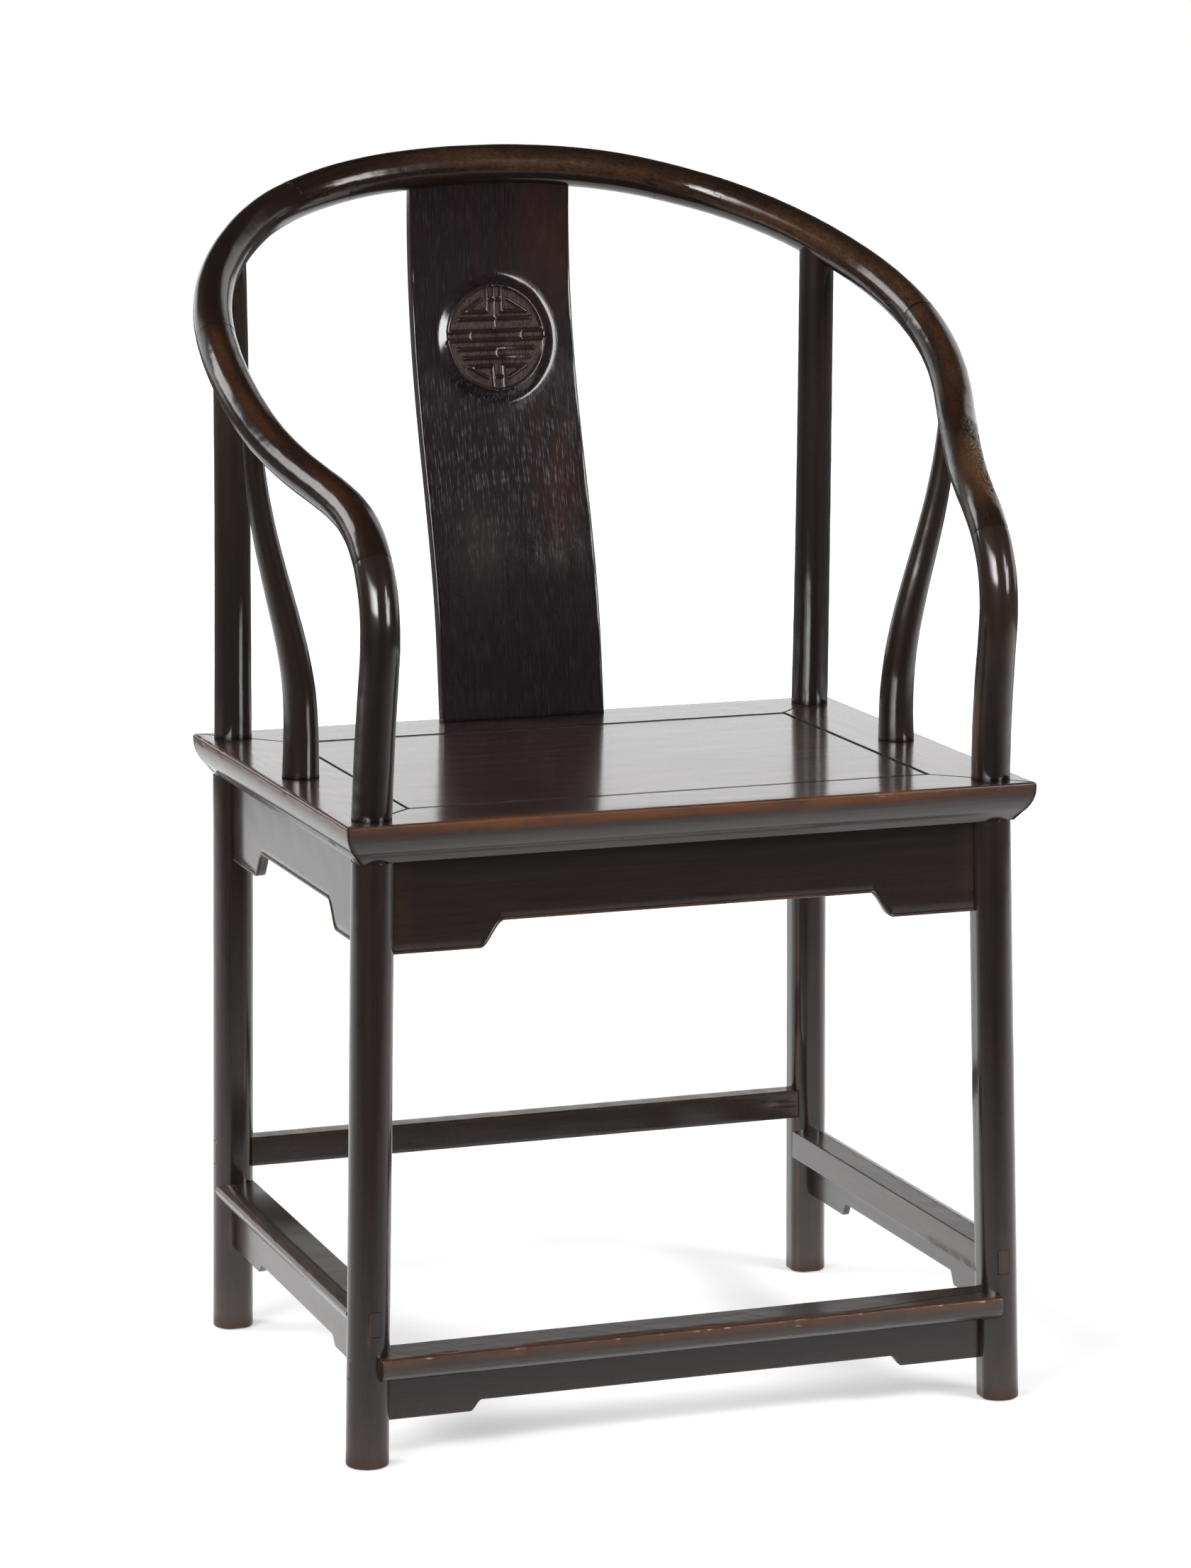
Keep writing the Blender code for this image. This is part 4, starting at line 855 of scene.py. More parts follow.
# The rail's section: moulded edge, flat top, eased inner arris and underside, as insets and heights
def seatProfile(width):
    edge = through(seat["edge"], 3)
    edge = np.stack([edge[:, 0], seatTop - edge[:, 1]], -1)
    top = np.append(np.linspace(0.0030, width - 0.0014, 26), width - seat["arris"])
    top = np.stack([top, np.full(27, seatTop)], -1)
    inner = [(width - 0.00012, seatTop - 0.00012), (width, seatTop - seat["arris"]), (width, seatTop - 0.006)]
    under = [(width, seatUnder + 0.001), (width - 0.001, seatUnder), (0.6 * width, seatUnder)]
    return np.concatenate([edge, top, inner, under])


# Where the through tenons show on a side rail: the fine gaps round their ends, and the ends
def tenonEnds(along, inset, z):
    low, high = seat["tenon"]["heights"]
    outer = (inset < 0.012) & (z < seatTop - 0.004)
    level = ((np.abs(z - low) < 0.0007) | (np.abs(z - high) < 0.0007)) & outer
    tall = (z > low - 0.0008) & (z < high + 0.0008) & outer
    rims = ends = np.zeros(along.shape, bool)
    for end, turn in (("front", -1), ("rear", 1)):
        first, last = seat["tenon"][end]
        at = along * turn
        wide = (at > first - 0.0001) & (at < last + 0.0001)
        beside = (np.abs(at - first) < 0.00016) | (np.abs(at - last) < 0.00016)
        rims = rims | (tall[None, :] & beside) | (wide & level[None, :])
        ends = ends | (wide & tall[None, :])
    return rims, ends


# The section carried along the rail and cut at its mitres: a place's reach shrinks with its inset
def seatRail(label, which, seed):
    cross = which in ("front", "rear")
    width = seat["railWidth"].get(which, seat["railWidth"]["side"])
    inset, z = seatProfile(width).T
    if cross:
        long, slants, wanted = seat["width"] / 2, [seat["railWidth"]["side"] / width] * 2, []
    else:
        long, slants = seat["depth"] / 2, [seat["railWidth"][end] / width for end in ("front", "rear")]
        wanted = [place * turn / long for end, turn in (("front", -1), ("rear", 1)) for place in seat["tenon"][end]]
        wanted = [value + step for value in wanted for step in (-0.0003 / long, 0, 0.0003 / long)]
    ends = [-1 + 0.0006 / long, 1 - 0.0006 / long]
    share = gridLines(-1.0, 1.0, seat["spacing"] / long, wanted + ends)[:, None]
    along = share * (np.where(share < 0, long - inset * slants[0], long - inset * slants[1]) - seat["mitreGap"])
    drop = seat["mitreDrop"] * (np.abs(share) > 0.99999) * smooth(seatTop - 0.004, seatTop, z)[None, :]
    height = np.broadcast_to(z[None, :], along.shape) - drop
    depth = np.broadcast_to(inset[None, :], along.shape).copy()

    onEdge = smooth(0.006, 0.0, inset) * smooth(seatTop - 0.012, seatTop - 0.001, z)
    where = np.stack([along, depth, height], -1)
    nicks = np.clip(ripple(where, 0.035, seed + 5) - 0.35, 0, 1)
    nicks = nicks + 0.6 * np.clip(ripple(where, 0.012, seed + 6) - 0.5, 0, 1)
    depth = depth + seat["wear"] * onEdge * nicks
    height = height - 0.0004 * onEdge * nicks
    height = height + 0.00005 * ripple(where, 0.07, seed) * smooth(0.004, 0.010, inset) * (z > seatTop - 0.0001)
    rubbed = onEdge * (0.55 + 0.6 * np.clip(nicks, 0, 1))
    if which == "front":  # rubbed brown by legs, less towards the corners
        worn = 0.6 * smooth(seatTop - 0.013, seatTop - 0.003, z) * smooth(0.02, 0.0, inset)
        rubbed = rubbed + worn * smooth(-0.28, -0.16, along) * smooth(0.25, 0.13, along)
    rough = 0.4 * rubbed
    chips = smooth(0.55, 0.8, ripple(where, 0.009, seed + 7)) * smooth(0.0035, 0.001, inset)
    chips = chips * smooth(seatTop - 0.006, seatTop - 0.002, z) * smooth(0.02, 0.10, along) * (which == "front")
    seam = smooth(1 - 0.0012 / long, 1, np.abs(share))
    # Painted shade darkens the inner edge beside the panel's gap; the mitres' seams are dark joints.
    shadeAndGrime = np.maximum(smooth(width - 0.0012, width - 0.0004, inset)[None, :], seam)
    if cross:
        out = seat["depth"] / 2 - depth
        points = np.stack([along, (-1 if which == "front" else 1) * out, height], -1)
    else:
        rims, tenons = tenonEnds(along, inset, z)
        depth = depth + 0.0005 * rims
        rubbed = rubbed + 0.35 * tenons
        rough = rough + 0.4 * smooth(0.016, 0.008, inset) * smooth(seatTop - 0.001, seatTop - 0.004, z)
        shadeAndGrime = np.maximum(shadeAndGrime, 0.9 * rims)
        points = np.stack([sideTurns[which] * (seat["width"] / 2 - depth), along, height], -1)
    fibre = np.stack([depth, height, along + seed], -1)
    handled = 0.25 * smooth(seatTop - 0.002, seatTop, z)[None, :] * np.ones(along.shape)
    finish = (handled, np.clip(rubbed, 0, 1), np.clip(rough, 0, 1), 0.8 * chips)
    addPiece(label, [skin(points, fibre, finish, shadeAndGrime=shadeAndGrime)], "seat", "seat_rail_" + which)


# The panel: a strip that runs up its front edge, over the top as a fine grid, and down its rear edge.
# Its top falls away in a quarter circle at the rim. A thinner tongue closes the seam below, painted dark as the shade
# in the gap.
def seatPanel():
    x = seat["width"] / 2 - seat["railWidth"]["side"] - seat["panelGap"]
    front = seat["railWidth"]["front"] - seat["depth"] / 2 + seat["panelGap"]
    back = seat["depth"] / 2 - seat["railWidth"]["rear"] - seat["panelGap"]
    low, top, ease = seatTop - 0.0095, seatTop - 0.0003, seat["panelEase"]
    rims = [turn * (x - step) for turn in (-1, 1) for step in (0.2 * ease, ease, 0.0016)]
    columns = gridLines(-x, x, 0.006, rims)
    field = gridLines(front, back, 0.006, (front + ease, back - ease))
    across = np.concatenate([[front, front], field, [back, back], [back - 0.02, front + 0.02]])
    height = np.concatenate([[low, top - ease], np.full(len(field), top), [top - ease, low], [low, low]])
    points = carried(np.stack([across, height], -1), columns)[3]
    outer = np.minimum(x - np.abs(points[..., 0]), np.minimum(points[..., 1] - front, back - points[..., 1]))
    upper = points[..., 2] > top - 0.1 * ease
    points[..., 2] -= upper * ease * (1 - np.sqrt(np.clip(1 - (1 - np.clip(outer / ease, 0, 1)) ** 2, 0, 1)))
    uneven = ripple(points * np.array([0.5, 1, 1]), 0.08, 31) - 1
    points[..., 2] += upper * smooth(0.0, 0.02, outer) * 0.00005 * uneven
    fibre = points[..., [1, 2, 0]] + np.array([0.0, 0.0, 0.4])
    ahead = np.minimum(points[..., 1] - front, back - points[..., 1])
    # Painted shade: the panel is darkened along its rims next to the gap.
    shadeAndGrime = np.maximum(smooth(0.0016, 0.0005, x - np.abs(points[..., 0])), smooth(0.0055, 0.002, ahead))
    part = skin(points, fibre, (0.3, 0.0, 0.0), shadeAndGrime=shadeAndGrime)
    reach, thick = seat["tongue"]
    start, end = front - reach, back + reach
    outline = eased(((start, low + thick), (end, low + thick), (end, low), (start, low)), 0.0005, 0.03)
    tongue = carried(outline, np.linspace(-x - reach, x + reach, 9))[3]
    under = skin(tongue, tongue[..., [1, 2, 0]] + np.array([0.0, 0.0, 0.4]), (0.0, 0.0, 0.4), shadeAndGrime=0.8)
    addPiece("seatPanel", [part, under], "seat", "seat_panel")


# Two dovetailed bars under the panel
def battens():
    about = seat["batten"]
    (high, low), top, foot = about["heights"], about["halfTop"], about["halfLow"]
    for number, (which, side) in enumerate(sideTurns.items()):
        outline = eased(((-top, high), (top, high), (foot, low), (-foot, low)), 0.001, 0.006)
        along, out, z, _ = carried(outline, gridLines(about["from"], about["to"], 0.01))
        points = np.stack([side * about["out"] + out, along, z], -1)
        part = skin(points, points[..., [0, 2, 1]] + number, (0.0, 0.0, 0.5))
        addPiece("seatBatten" + which.capitalize(), [part], "framework", "seat_batten_" + which)


for number, which in enumerate(("front", "rear", "left", "right")):
    seatRail("seatRail" + which.capitalize(), which, 20 + 3 * number)
seatPanel()
battens()
print("seat made")

# Splat and medallion, worked from one board
splatBoard = {
    "face": (  # height over the seat, and how far back the face is
        (0.0, 0.2007), (0.0302, 0.2044), (0.0906, 0.2091), (0.1812, 0.2361),
        (0.2718, 0.2684), (0.3624, 0.2860), (0.4228, 0.2880), (0.4530, 0.2858),
    ),
    "rise": 0.453,
    "sunk": 0.004,
    "halfLow": 0.0725,
    "halfHigh": 0.0711,
    "thickness": 0.0117,
    "ease": 0.0015,
    "fine": 0.0006,
    "coarse": 0.0015,
    "field": 0.0466,
}
medallion = {
    "height": 0.3166,
    "narrow": 0.966,
    "beadHalf": 0.0016,
    "beadRise": 0.0015,
    "cushion": (  # radius and rise
        (0.0, 0.0038), (0.0420, 0.0038), (0.0427, 0.0042), (0.0440, 0.0046), (0.0451, 0.0045),
        (0.0462, 0.0041), (0.0479, 0.0032), (0.0496, 0.0023), (0.0513, 0.0015), (0.0531, 0.0008),
        (0.0552, 0.0003), (0.0578, 0.0001), (0.0600, 0.0), (0.0630, 0.0),
    ),
    "ring": 0.0440,
    "ground": (0.0432, 0.0420),
    "growthRing": 0.0085,
    "wornSpots": ((0.0110, -0.0092, 0.008), (0.0195, -0.0168, 0.008)),
    "topGap": 0.0066,
    "footGap": 0.0045,
    "bars": (  # single strokes, and then strokes that also stand mirrored on the other side
        ((0.0, 0.0440), (0.0, 0.0081)),
        ((-0.0066, 0.0322), (0.0066, 0.0322)),
        ((-0.0330, 0.0160), (0.0330, 0.0160)),
        ((-0.0350, -0.0092), (0.0350, -0.0092)),
        ((-0.0300, -0.0168), (0.0300, -0.0168)),
        ((0.0, -0.0092), (0.0, -0.0168)),
        ((-0.0045, -0.0330), (0.0045, -0.0330)),
        ((-0.0436, 0.0056), (0.0436, 0.0056)),
        ((-0.0440, -0.0018), (0.0440, -0.0018)),
    ),
    "paired": (
        ((0.0066, 0.0436), (0.0066, 0.0219)),
        ((0.0066, 0.0219), (0.0290, 0.0219)),
        ((0.0045, -0.0438), (0.0045, -0.0240)),
        ((0.0045, -0.0240), (0.0265, -0.0240)),
        ((0.0290, 0.0219), (0.0120, 0.0325)),
        ((0.0234, 0.0056), (0.0234, -0.0018)),
        ((0.0265, -0.0240), (0.0100, -0.0335)),
    ),
}


# Distance from places on the medallion to the nearest line of the fret
def fretDistance(across, up):
    nearest = np.full(across.shape, 1.0)
    lines = list(medallion["bars"])
    for start, end in medallion["paired"]:
        lines += [(start, end), ((-start[0], start[1]), (-end[0], end[1]))]
    for start, end in lines:
        start, end = np.array(start), np.array(end)
        span = end - start
        share = np.clip(((across - start[0]) * span[0] + (up - start[1]) * span[1]) / (span @ span), 0, 1)
        nearest = np.minimum(nearest, np.hypot(across - start[0] - share * span[0], up - start[1] - share * span[1]))
    radius, ring = np.hypot(across, up), medallion["ring"]
    beyond = ((up > 0) & (np.abs(across) < medallion["topGap"])) | ((up < 0) & (np.abs(across) < medallion["footGap"]))
    beyond |= (up < 0.0056) & (up > -0.0018)
    return np.where(beyond, nearest, np.minimum(nearest, np.abs(radius - ring)))


# The places on the fret that are rubbed flat
def wornSpots(across, up):
    return sum(bump(across, x, reach) * bump(up, y, 0.0025) for x, y, reach in medallion["wornSpots"])


# How far the front stands off the board: a soft cushion with a sunk ground and rounded beads on it
def medallionLift(across, up):
    radius = np.hypot(across, up)
    rings = through(medallion["cushion"], 8)
    lift = np.interp(radius, rings[:, 0], rings[:, 1])
    bead = np.clip(1 - (fretDistance(across, up) / medallion["beadHalf"]) ** 2, 0, 1) ** 0.6
    bead = bead * (radius < 0.0462) * (1 - 0.5 * wornSpots(across, up))
    return lift + medallion["beadRise"] * bead, bead


# The splat's colour and wear: bare fret, dull ground, red arrises and growth rings drawn as nested arcs. Two soft
# patches low on the board are painted reflections, a pale grey one on the left and a warm red-brown one on the right,
# and its foot in the seat is darkened as painted shade.
def splatWear(points, x, up, bead, where):
    across = x / medallion["narrow"]
    count = x.shape[1]
    handled, rubbed, rough, dusty = np.zeros((4, *points.shape[:2]))
    rubbed[:, :count] = 0.3 * bead + 0.22 * bump(x, 0.050, 0.03) * bump(up, 0.085, 0.06)
    # Painted reflection: a warm red-brown patch low on the right of the board.
    rubbed[:, :count] += 0.25 * bump(x, 0.045, 0.02) * bump(up, -0.115, 0.06)
    rubbed[:, count + 2 : count + 6] = rubbed[:, -6:-2] = 0.5 * smooth(0.1, -0.12, up[:, :1])
    inside = smooth(*medallion["ground"], np.hypot(across, up))
    ground = inside * smooth(0.7, 0.0, bead)
    rough[:, :count] = 0.75 * ground
    # The ground keeps its own dull colour; the pale grey patch low on the left of the board is a painted reflection.
    handled[:, :count] = 0.8 * ground + 0.2 * bump(x, -0.030, 0.022) * bump(up, -0.165, 0.04)
    rings = up + 9.0 * x**2 + 0.004 * ripple(where, 0.05, 43)
    arcs = 0.5 + 0.5 * np.sin(rings * 2 * math.pi / medallion["growthRing"])
    dusty[:, :count] = (0.06 + bump(up, -0.100, 0.060) * (0.20 + 0.65 * arcs)) * (1 - inside)
    worn = wornSpots(across, up) * smooth(0.2, 0.6, bead)
    dusty[:, :count] += worn
    handled[:, :count] += 0.6 * worn
    # Painted shade: the foot is darkened where it goes into the seat.
    shadeAndGrime = 0.8 * smooth(0.0030, 0.0005, points[..., 2] - seatTop)
    besideBead = bump(fretDistance(across, up), 0.0018, 0.0006)
    shadeAndGrime[:, :count] += 0.6 * besideBead * (np.hypot(across, up) < 0.0455)
    return (np.clip(handled, 0, 1), rubbed, rough, np.clip(dusty, 0, 1)), shadeAndGrime


# The board's face follows a curve in side view, and the lift is added square to it. Each row then runs
# round the rounded edges and over the plain back. The grid is finer over the medallion.
def splat():
    about = splatBoard
    low, high = seatTop - about["sunk"], seatTop + about["rise"]
    centre = seatTop + medallion["height"]
    field = about["field"]
    z = np.unique(np.concatenate([
        gridLines(low, centre - field, about["coarse"]),
        gridLines(centre - field, centre + field, about["fine"]),
        gridLines(centre + field, high, about["coarse"]),
    ]).round(7))
    curve = spline(about["face"], np.linspace(0, 1, 2001))
    face = np.interp(z, seatTop + curve[:, 0], curve[:, 1])
    slope = np.gradient(face, z)
    size = np.hypot(1, slope)
    halfLow = about["halfLow"]
    half = halfLow + (about["halfHigh"] - halfLow) * (z - seatTop) / about["rise"]
    ease = about["ease"] / halfLow
    fieldShare = field * medallion["narrow"] / halfLow
    front = np.unique(np.concatenate([
        gridLines(-1 + ease, -fieldShare, about["coarse"] / halfLow),
        gridLines(-fieldShare, fieldShare, about["fine"] / halfLow),
        gridLines(fieldShare, 1 - ease, about["coarse"] / halfLow),
    ]).round(7))
    x = half[:, None] * front
    up = np.broadcast_to((z - centre)[:, None], x.shape)
    lift, bead = medallionLift(x / medallion["narrow"], up)
    where = np.stack([x, np.zeros(x.shape), up], -1)
    lift = lift + 0.00009 * ripple(where, 0.09, 41)
    raised = np.stack([x, face[:, None] - lift / size[:, None], z[:, None] + lift * (slope / size)[:, None]], -1)
    thick = about["thickness"] * size
    turn = np.linspace(0, math.pi / 2, 8)[1:]
    corner = np.stack([np.sin(turn), 1 - np.cos(turn)], -1)
    edge = half[:, None] - about["ease"] * (1 - np.concatenate([corner[:, 0], [1.0], corner[::-1, 0]]))
    deep = about["ease"] * np.concatenate([corner[:, 1], [0.0], -corner[::-1, 1]])
    deep = face[:, None] + thick[:, None] * np.repeat([0.0, 0.5, 1.0], (7, 1, 7)) + deep
    upright = np.broadcast_to(z[:, None], edge.shape)
    rightEdge, leftEdge = (np.stack([turn * edge, deep, upright], -1) for turn in (1, -1))
    backX = np.linspace(1 - ease, -1 + ease, 9)[None, :] * half[:, None]
    back = np.stack(np.broadcast_arrays(backX, (face + thick)[:, None], z[:, None]), -1)
    points = np.concatenate([raised, rightEdge, back, leftEdge[:, ::-1]], 1)
    fibre = points.copy()
    fibre[..., 1] += 0.3 - face[:, None]
    finish, shadeAndGrime = splatWear(points, x, up, bead, where)
    addPiece("backSplat", [skin(points, fibre, finish, shadeAndGrime=shadeAndGrime)], "splat", "back_splat", crease=60)


splat()
print("splat made")

# Aprons: boards whose lower edge steps down towards their ends, with or without a bead along it.
# The step's middle and half its run are metres from the board's middle.
aprons = {
    "beadWidth": 0.0024,
    "beadRise": 0.0009,
    "quirk": 0.0003,
    "ease": 0.0009,
    "faceRows": 12,
    "legGap": 0.0003,
    "front": {"low": 0.4035, "mid": 0.4243, "step": 0.1625, "run": 0.010, "face": 0.2009},
    "rear": {"low": 0.4035, "mid": 0.4243, "step": 0.1625, "run": 0.010, "face": 0.2022},
    "side": {"low": 0.4060, "mid": 0.4275, "step": 0.1045, "run": 0.011, "face": 0.2632},
    "foot": {"low": 0.0334, "mid": 0.0422, "step": 0.1780, "run": 0.005, "face": 0.2014},
    "lowLeft": {"low": 0.0695, "mid": 0.0774, "step": 0.1100, "run": 0.006, "face": 0.0015},
    "lowRight": {"low": 0.0695, "mid": 0.0807, "step": 0.1145, "run": 0.004, "face": 0.0060},
    "underSeat": {"top": legTop, "thickness": 0.0085, "beaded": True, "wood": "framework"},
    "underFoot": {"top": 0.0686, "thickness": 0.0080, "beaded": False, "wood": "framework"},
    "underSide": {"top": 0.1037, "thickness": 0.0060, "beaded": False, "wood": "footRail"},
}


# The lower edge: half a cosine wave from the middle's height to the end's
def apronEdge(shape, along):
    share = np.clip((np.abs(along) - shape["step"] + shape["run"]) / (2 * shape["run"]), 0, 1)
    return shape["mid"] + (shape["low"] - shape["mid"]) * (1 - np.cos(math.pi * share)) / 2


# One apron: at each place along it, a face down to the lower edge, a half-round bead or a small round
# there, and a flat back. place turns along, outward and height into the chair's own, and reach gives
# the half length at a height, because the legs splay.
def apron(name, node, shape, board, place, reach, seed):
    top, half = board["top"], float(reach(shape["low"]))
    start, end = shape["step"] - shape["run"] - 0.002, shape["step"] + shape["run"] + 0.002
    curve = gridLines(start, end, 0.0007)
    right = np.concatenate([gridLines(0.0, start, 0.006), curve, gridLines(end, half, 0.004)])
    along = np.unique(np.concatenate([-right, right]).round(7))
    low = apronEdge(shape, along)
    stretch = np.hypot(1, np.gradient(low, along))
    outward = hollow = shape["face"]
    t = np.linspace(0, 1, 8)
    if board["beaded"]:
        hollow = outward - aprons["beadRise"]
        brim = (low + aprons["beadWidth"] * stretch)[:, None]
        beadZ = brim + (low[:, None] - brim) * t
        beadOut = hollow + aprons["beadRise"] * np.sqrt(np.clip(1 - (2 * t - 1) ** 2, 0, 1))
        faceEnd, quirkZ, quirkOut = brim + 0.0004, brim, hollow - aprons["quirk"]
    else:
        bend = t * math.pi / 2
        beadZ = low[:, None] + aprons["ease"] * stretch[:, None] * (1 - np.sin(bend))
        beadOut = outward - aprons["ease"] * (1 - np.cos(bend))
        faceEnd, quirkZ, quirkOut = beadZ[:, :1] + 0.0006, beadZ[:, :1] + aprons["quirk"], outward
    rows = aprons["faceRows"]
    faceZ = top + (faceEnd - top) * np.linspace(0, 1, rows)
    inner = outward - board["thickness"]
    backZ = np.stack([low, low + 0.0004, low + 0.3 * (top - low), np.full(low.shape, top)], -1)
    z = np.concatenate([faceZ, quirkZ, beadZ, backZ], 1)
    section = np.concatenate([np.full(rows, hollow), [quirkOut], beadOut, [inner + 0.0006], np.full(3, inner)])
    span = np.broadcast_to(along[:, None], z.shape)
    atEnd = np.abs(np.abs(along) - half)[:, None] < 1e-6
    ends = np.where(atEnd, span / half * reach(z), span)
    out = section + 0.00006 * ripple(np.stack([ends, 0 * z, z], -1), 0.06, seed)
    fibre = np.stack([out, z, ends + seed], -1)
    rubbed = np.zeros(z.shape)
    rubbed[:, rows + 1 : rows + 1 + len(t)] = 0.45  # the bead, after the face and the quirk
    rubbed = rubbed + 0.15 * smooth(half - 0.02, half, np.abs(along))[:, None]
    handled = 0.2 * smooth(top, shape["low"], z)
    addPiece(name, [skin(place(ends, out, z), fibre, (handled, rubbed, 0.06))], board["wood"], node)


# Half lengths between the legs' flat sides at a height
def crossReach(end):
    return lambda z: legXY(end, z)[0] - legs["flat"] - aprons["legGap"]


def sideReach(z):
    return (legXY("rear", z)[1] - legXY("front", z)[1]) / 2 - legs["flat"] - aprons["legGap"]


# The middle between a side's two legs, and the straight line between their middles
def sideMiddle(z):
    return (legXY("rear", z)[1] + legXY("front", z)[1]) / 2


def sideLine(along, z):
    frontX, frontY = legXY("front", z)
    rearX, rearY = legXY("rear", z)
    return frontX + (rearX - frontX) * (along - frontY) / (rearY - frontY)


# A board across the chair or one along a side, which either stands upright or follows the legs' splay
def buildAprons():
    across = lambda turn: lambda along, out, z: np.stack([along, turn * out, z], -1)
    upright = lambda side: lambda along, out, z: np.stack([side * out, sideMiddle(z) + along, z], -1)
    splayed = lambda side: lambda along, out, z: np.stack(
        [side * (sideLine(sideMiddle(z) + along, z) + out), sideMiddle(z) + along, z], -1
    )
    seatBoard, footBoard, sideBoard = aprons["underSeat"], aprons["underFoot"], aprons["underSide"]
    apron("apronFront", "apron_front", aprons["front"], seatBoard, across(-1), crossReach("front"), 71)
    apron("apronRear", "apron_rear", aprons["rear"], seatBoard, across(1), crossReach("rear"), 72)
    for number, (which, side) in enumerate(sideTurns.items()):
        label = which.capitalize()
        apron("apron" + label, "apron_" + which, aprons["side"], seatBoard, upright(side), sideReach, 73 + number)
    apron("footApron", "stretcher_apron_front", aprons["foot"], footBoard, across(-1), crossReach("front"), 76)
    for number, (which, side) in enumerate(sideTurns.items()):
        label = "low" + which.capitalize()
        node = "stretcher_apron_" + which
        apron(label + "Apron", node, aprons[label], sideBoard, splayed(side), sideReach, 77 + number)


buildAprons()
print("aprons made")

# Stretchers: lowest in front, higher at the sides and highest behind. Outlines are outward and height.
stretchers = {
    "foot": (
        (0.1853, 0.0893), (0.2235, 0.0893), (0.2250, 0.0888), (0.2256, 0.0872), (0.2256, 0.0798),
        (0.2243, 0.0757), (0.2210, 0.0722), (0.2147, 0.0689), (0.1853, 0.0689),
    ),
    "footEnd": 0.2610,
    "footLip": {"nicks": (0.0006, 0.0008), "hollow": (0.0005, 0.0009)},  # downward and inward
    "footCrack": {"from": (0.125, 0.2213), "to": (0.2523, 0.2032), "half": 0.0012},
    "side": (
        (-0.0153, 0.1040), (0.0030, 0.1040), (0.0085, 0.1078), (0.0128, 0.1122), (0.0158, 0.1165), (0.0170, 0.1195),
        (0.0172, 0.1216), (0.0158, 0.1243), (0.0120, 0.1264), (0.0066, 0.1275), (-0.0153, 0.1278),
    ),
    "sideEnds": (-0.1960, 0.1970),
    "sideHeight": 0.1159,
    "sideLine": (0.0068, 0.0011),  # a dark line along the inner arris
    "rear": ((0.1884, 0.1412), (0.1884, 0.1655), (0.2084, 0.1655), (0.2084, 0.1412)),
    "rearHeight": 0.153,
    "rearTongue": 0.003,
    "rearSplit": {"at": (0.232, 0.1548), "half": (0.010, 0.0012), "depth": 0.0012},
}


# The footrest: its moulded outline carried across, worn hollow and nicked along the upper front lip
def footRest():
    end = stretchers["footEnd"]
    x = gridLines(-end, end, 0.0022, (-end + 0.0004, end - 0.0004, -end + 0.0001, end - 0.0001))
    along, out, z, where = carried(eased(stretchers["foot"], 0.0012, 0.0008), x)
    lip = smooth(0.216, 0.2235, out) * smooth(0.080, 0.0875, z)
    nicks = np.clip(ripple(where, 0.04, 81) - 0.2, 0, 1) + 0.5 * np.clip(ripple(where, 0.011, 82) - 0.5, 0, 1)
    hollow = smooth(0.20, 0.05, np.abs(along)) * (0.6 + 0.4 * ripple(where, 0.15, 83))
    (nickDown, nickIn), (hollowDown, hollowIn) = stretchers["footLip"].values()
    z = z - lip * (nickDown * nicks + hollowDown * hollow) + 0.00006 * ripple(where, 0.05, 84)
    out = out - lip * (nickIn * nicks + hollowIn * hollow)
    close = np.clip((np.abs(along) - end + 0.0004) / 0.0004, 0, 1)
    out = out - 0.0003 * close * (out > 0.22)
    fibre = np.stack([out, z, along], -1)
    rubbed = np.clip(lip * (0.7 + nicks) + 0.1 * smooth(0.079, 0.084, z) * (out > 0.224), 0, 1)
    handled = 0.5 * smooth(0.088, 0.0892, z) + 0.2 * (out > 0.222)
    about = stretchers["footCrack"]
    (startX, startOut), (endX, endOut) = about["from"], about["to"]
    share = (along - startX) / (endX - startX)
    crack = bump(out, startOut + (endOut - startOut) * share + 0.0005 * ripple(where, 0.02, 95), about["half"])
    crack = crack * smooth(0.0, 0.1, share) * smooth(1.02, 1.0, share) * (z > 0.088)
    part = skin(np.stack([along, -out, z], -1), fibre, (handled, rubbed, 0.12 + 0.3 * rubbed), shadeAndGrime=0.9 * crack)
    addPiece("footRest", [part], "footRail", "stretcher_front")


# A side stretcher: its outline carried along the line between the legs, worn along the top and outer arris
def sideStretcher(which, side, seed):
    outline = eased(stretchers["side"], 0.0007, 0.0012)
    along, out, z, where = carried(outline, gridLines(*stretchers["sideEnds"], 0.004))
    worn = smooth(0.006, 0.015, out) * smooth(0.118, 0.124, z)
    nicks = np.clip(ripple(where, 0.03, seed) - 0.2, 0, 1)
    z = z - 0.0005 * worn * nicks + 0.00006 * ripple(where, 0.05, seed + 1)
    points = np.stack([side * (sideLine(along, stretchers["sideHeight"]) + out), along, z], -1)
    fibre = np.stack([out, z, along + seed], -1)
    # the right one is gouged low on its inner face, near the front
    gouge = (side > 0) * smooth(-0.08, -0.12, along) * smooth(0.1125, 0.1080, z) * smooth(-0.010, -0.013, out)
    gouge = gouge * np.clip(0.8 + ripple(where, 0.02, 96), 0, 1)
    rubbed = np.clip(worn * (0.3 + nicks) + 0.7 * gouge, 0, 1)
    lined = 0.7 * bump(out, *stretchers["sideLine"]) * (z > 0.12)
    part = skin(points, fibre, (0.3, rubbed, 0.1 + 0.2 * rubbed + 0.4 * gouge, 0.5 * gouge), shadeAndGrime=lined)
    addPiece("sideStretcher" + which.capitalize(), [part], "footRail", "stretcher_" + which)


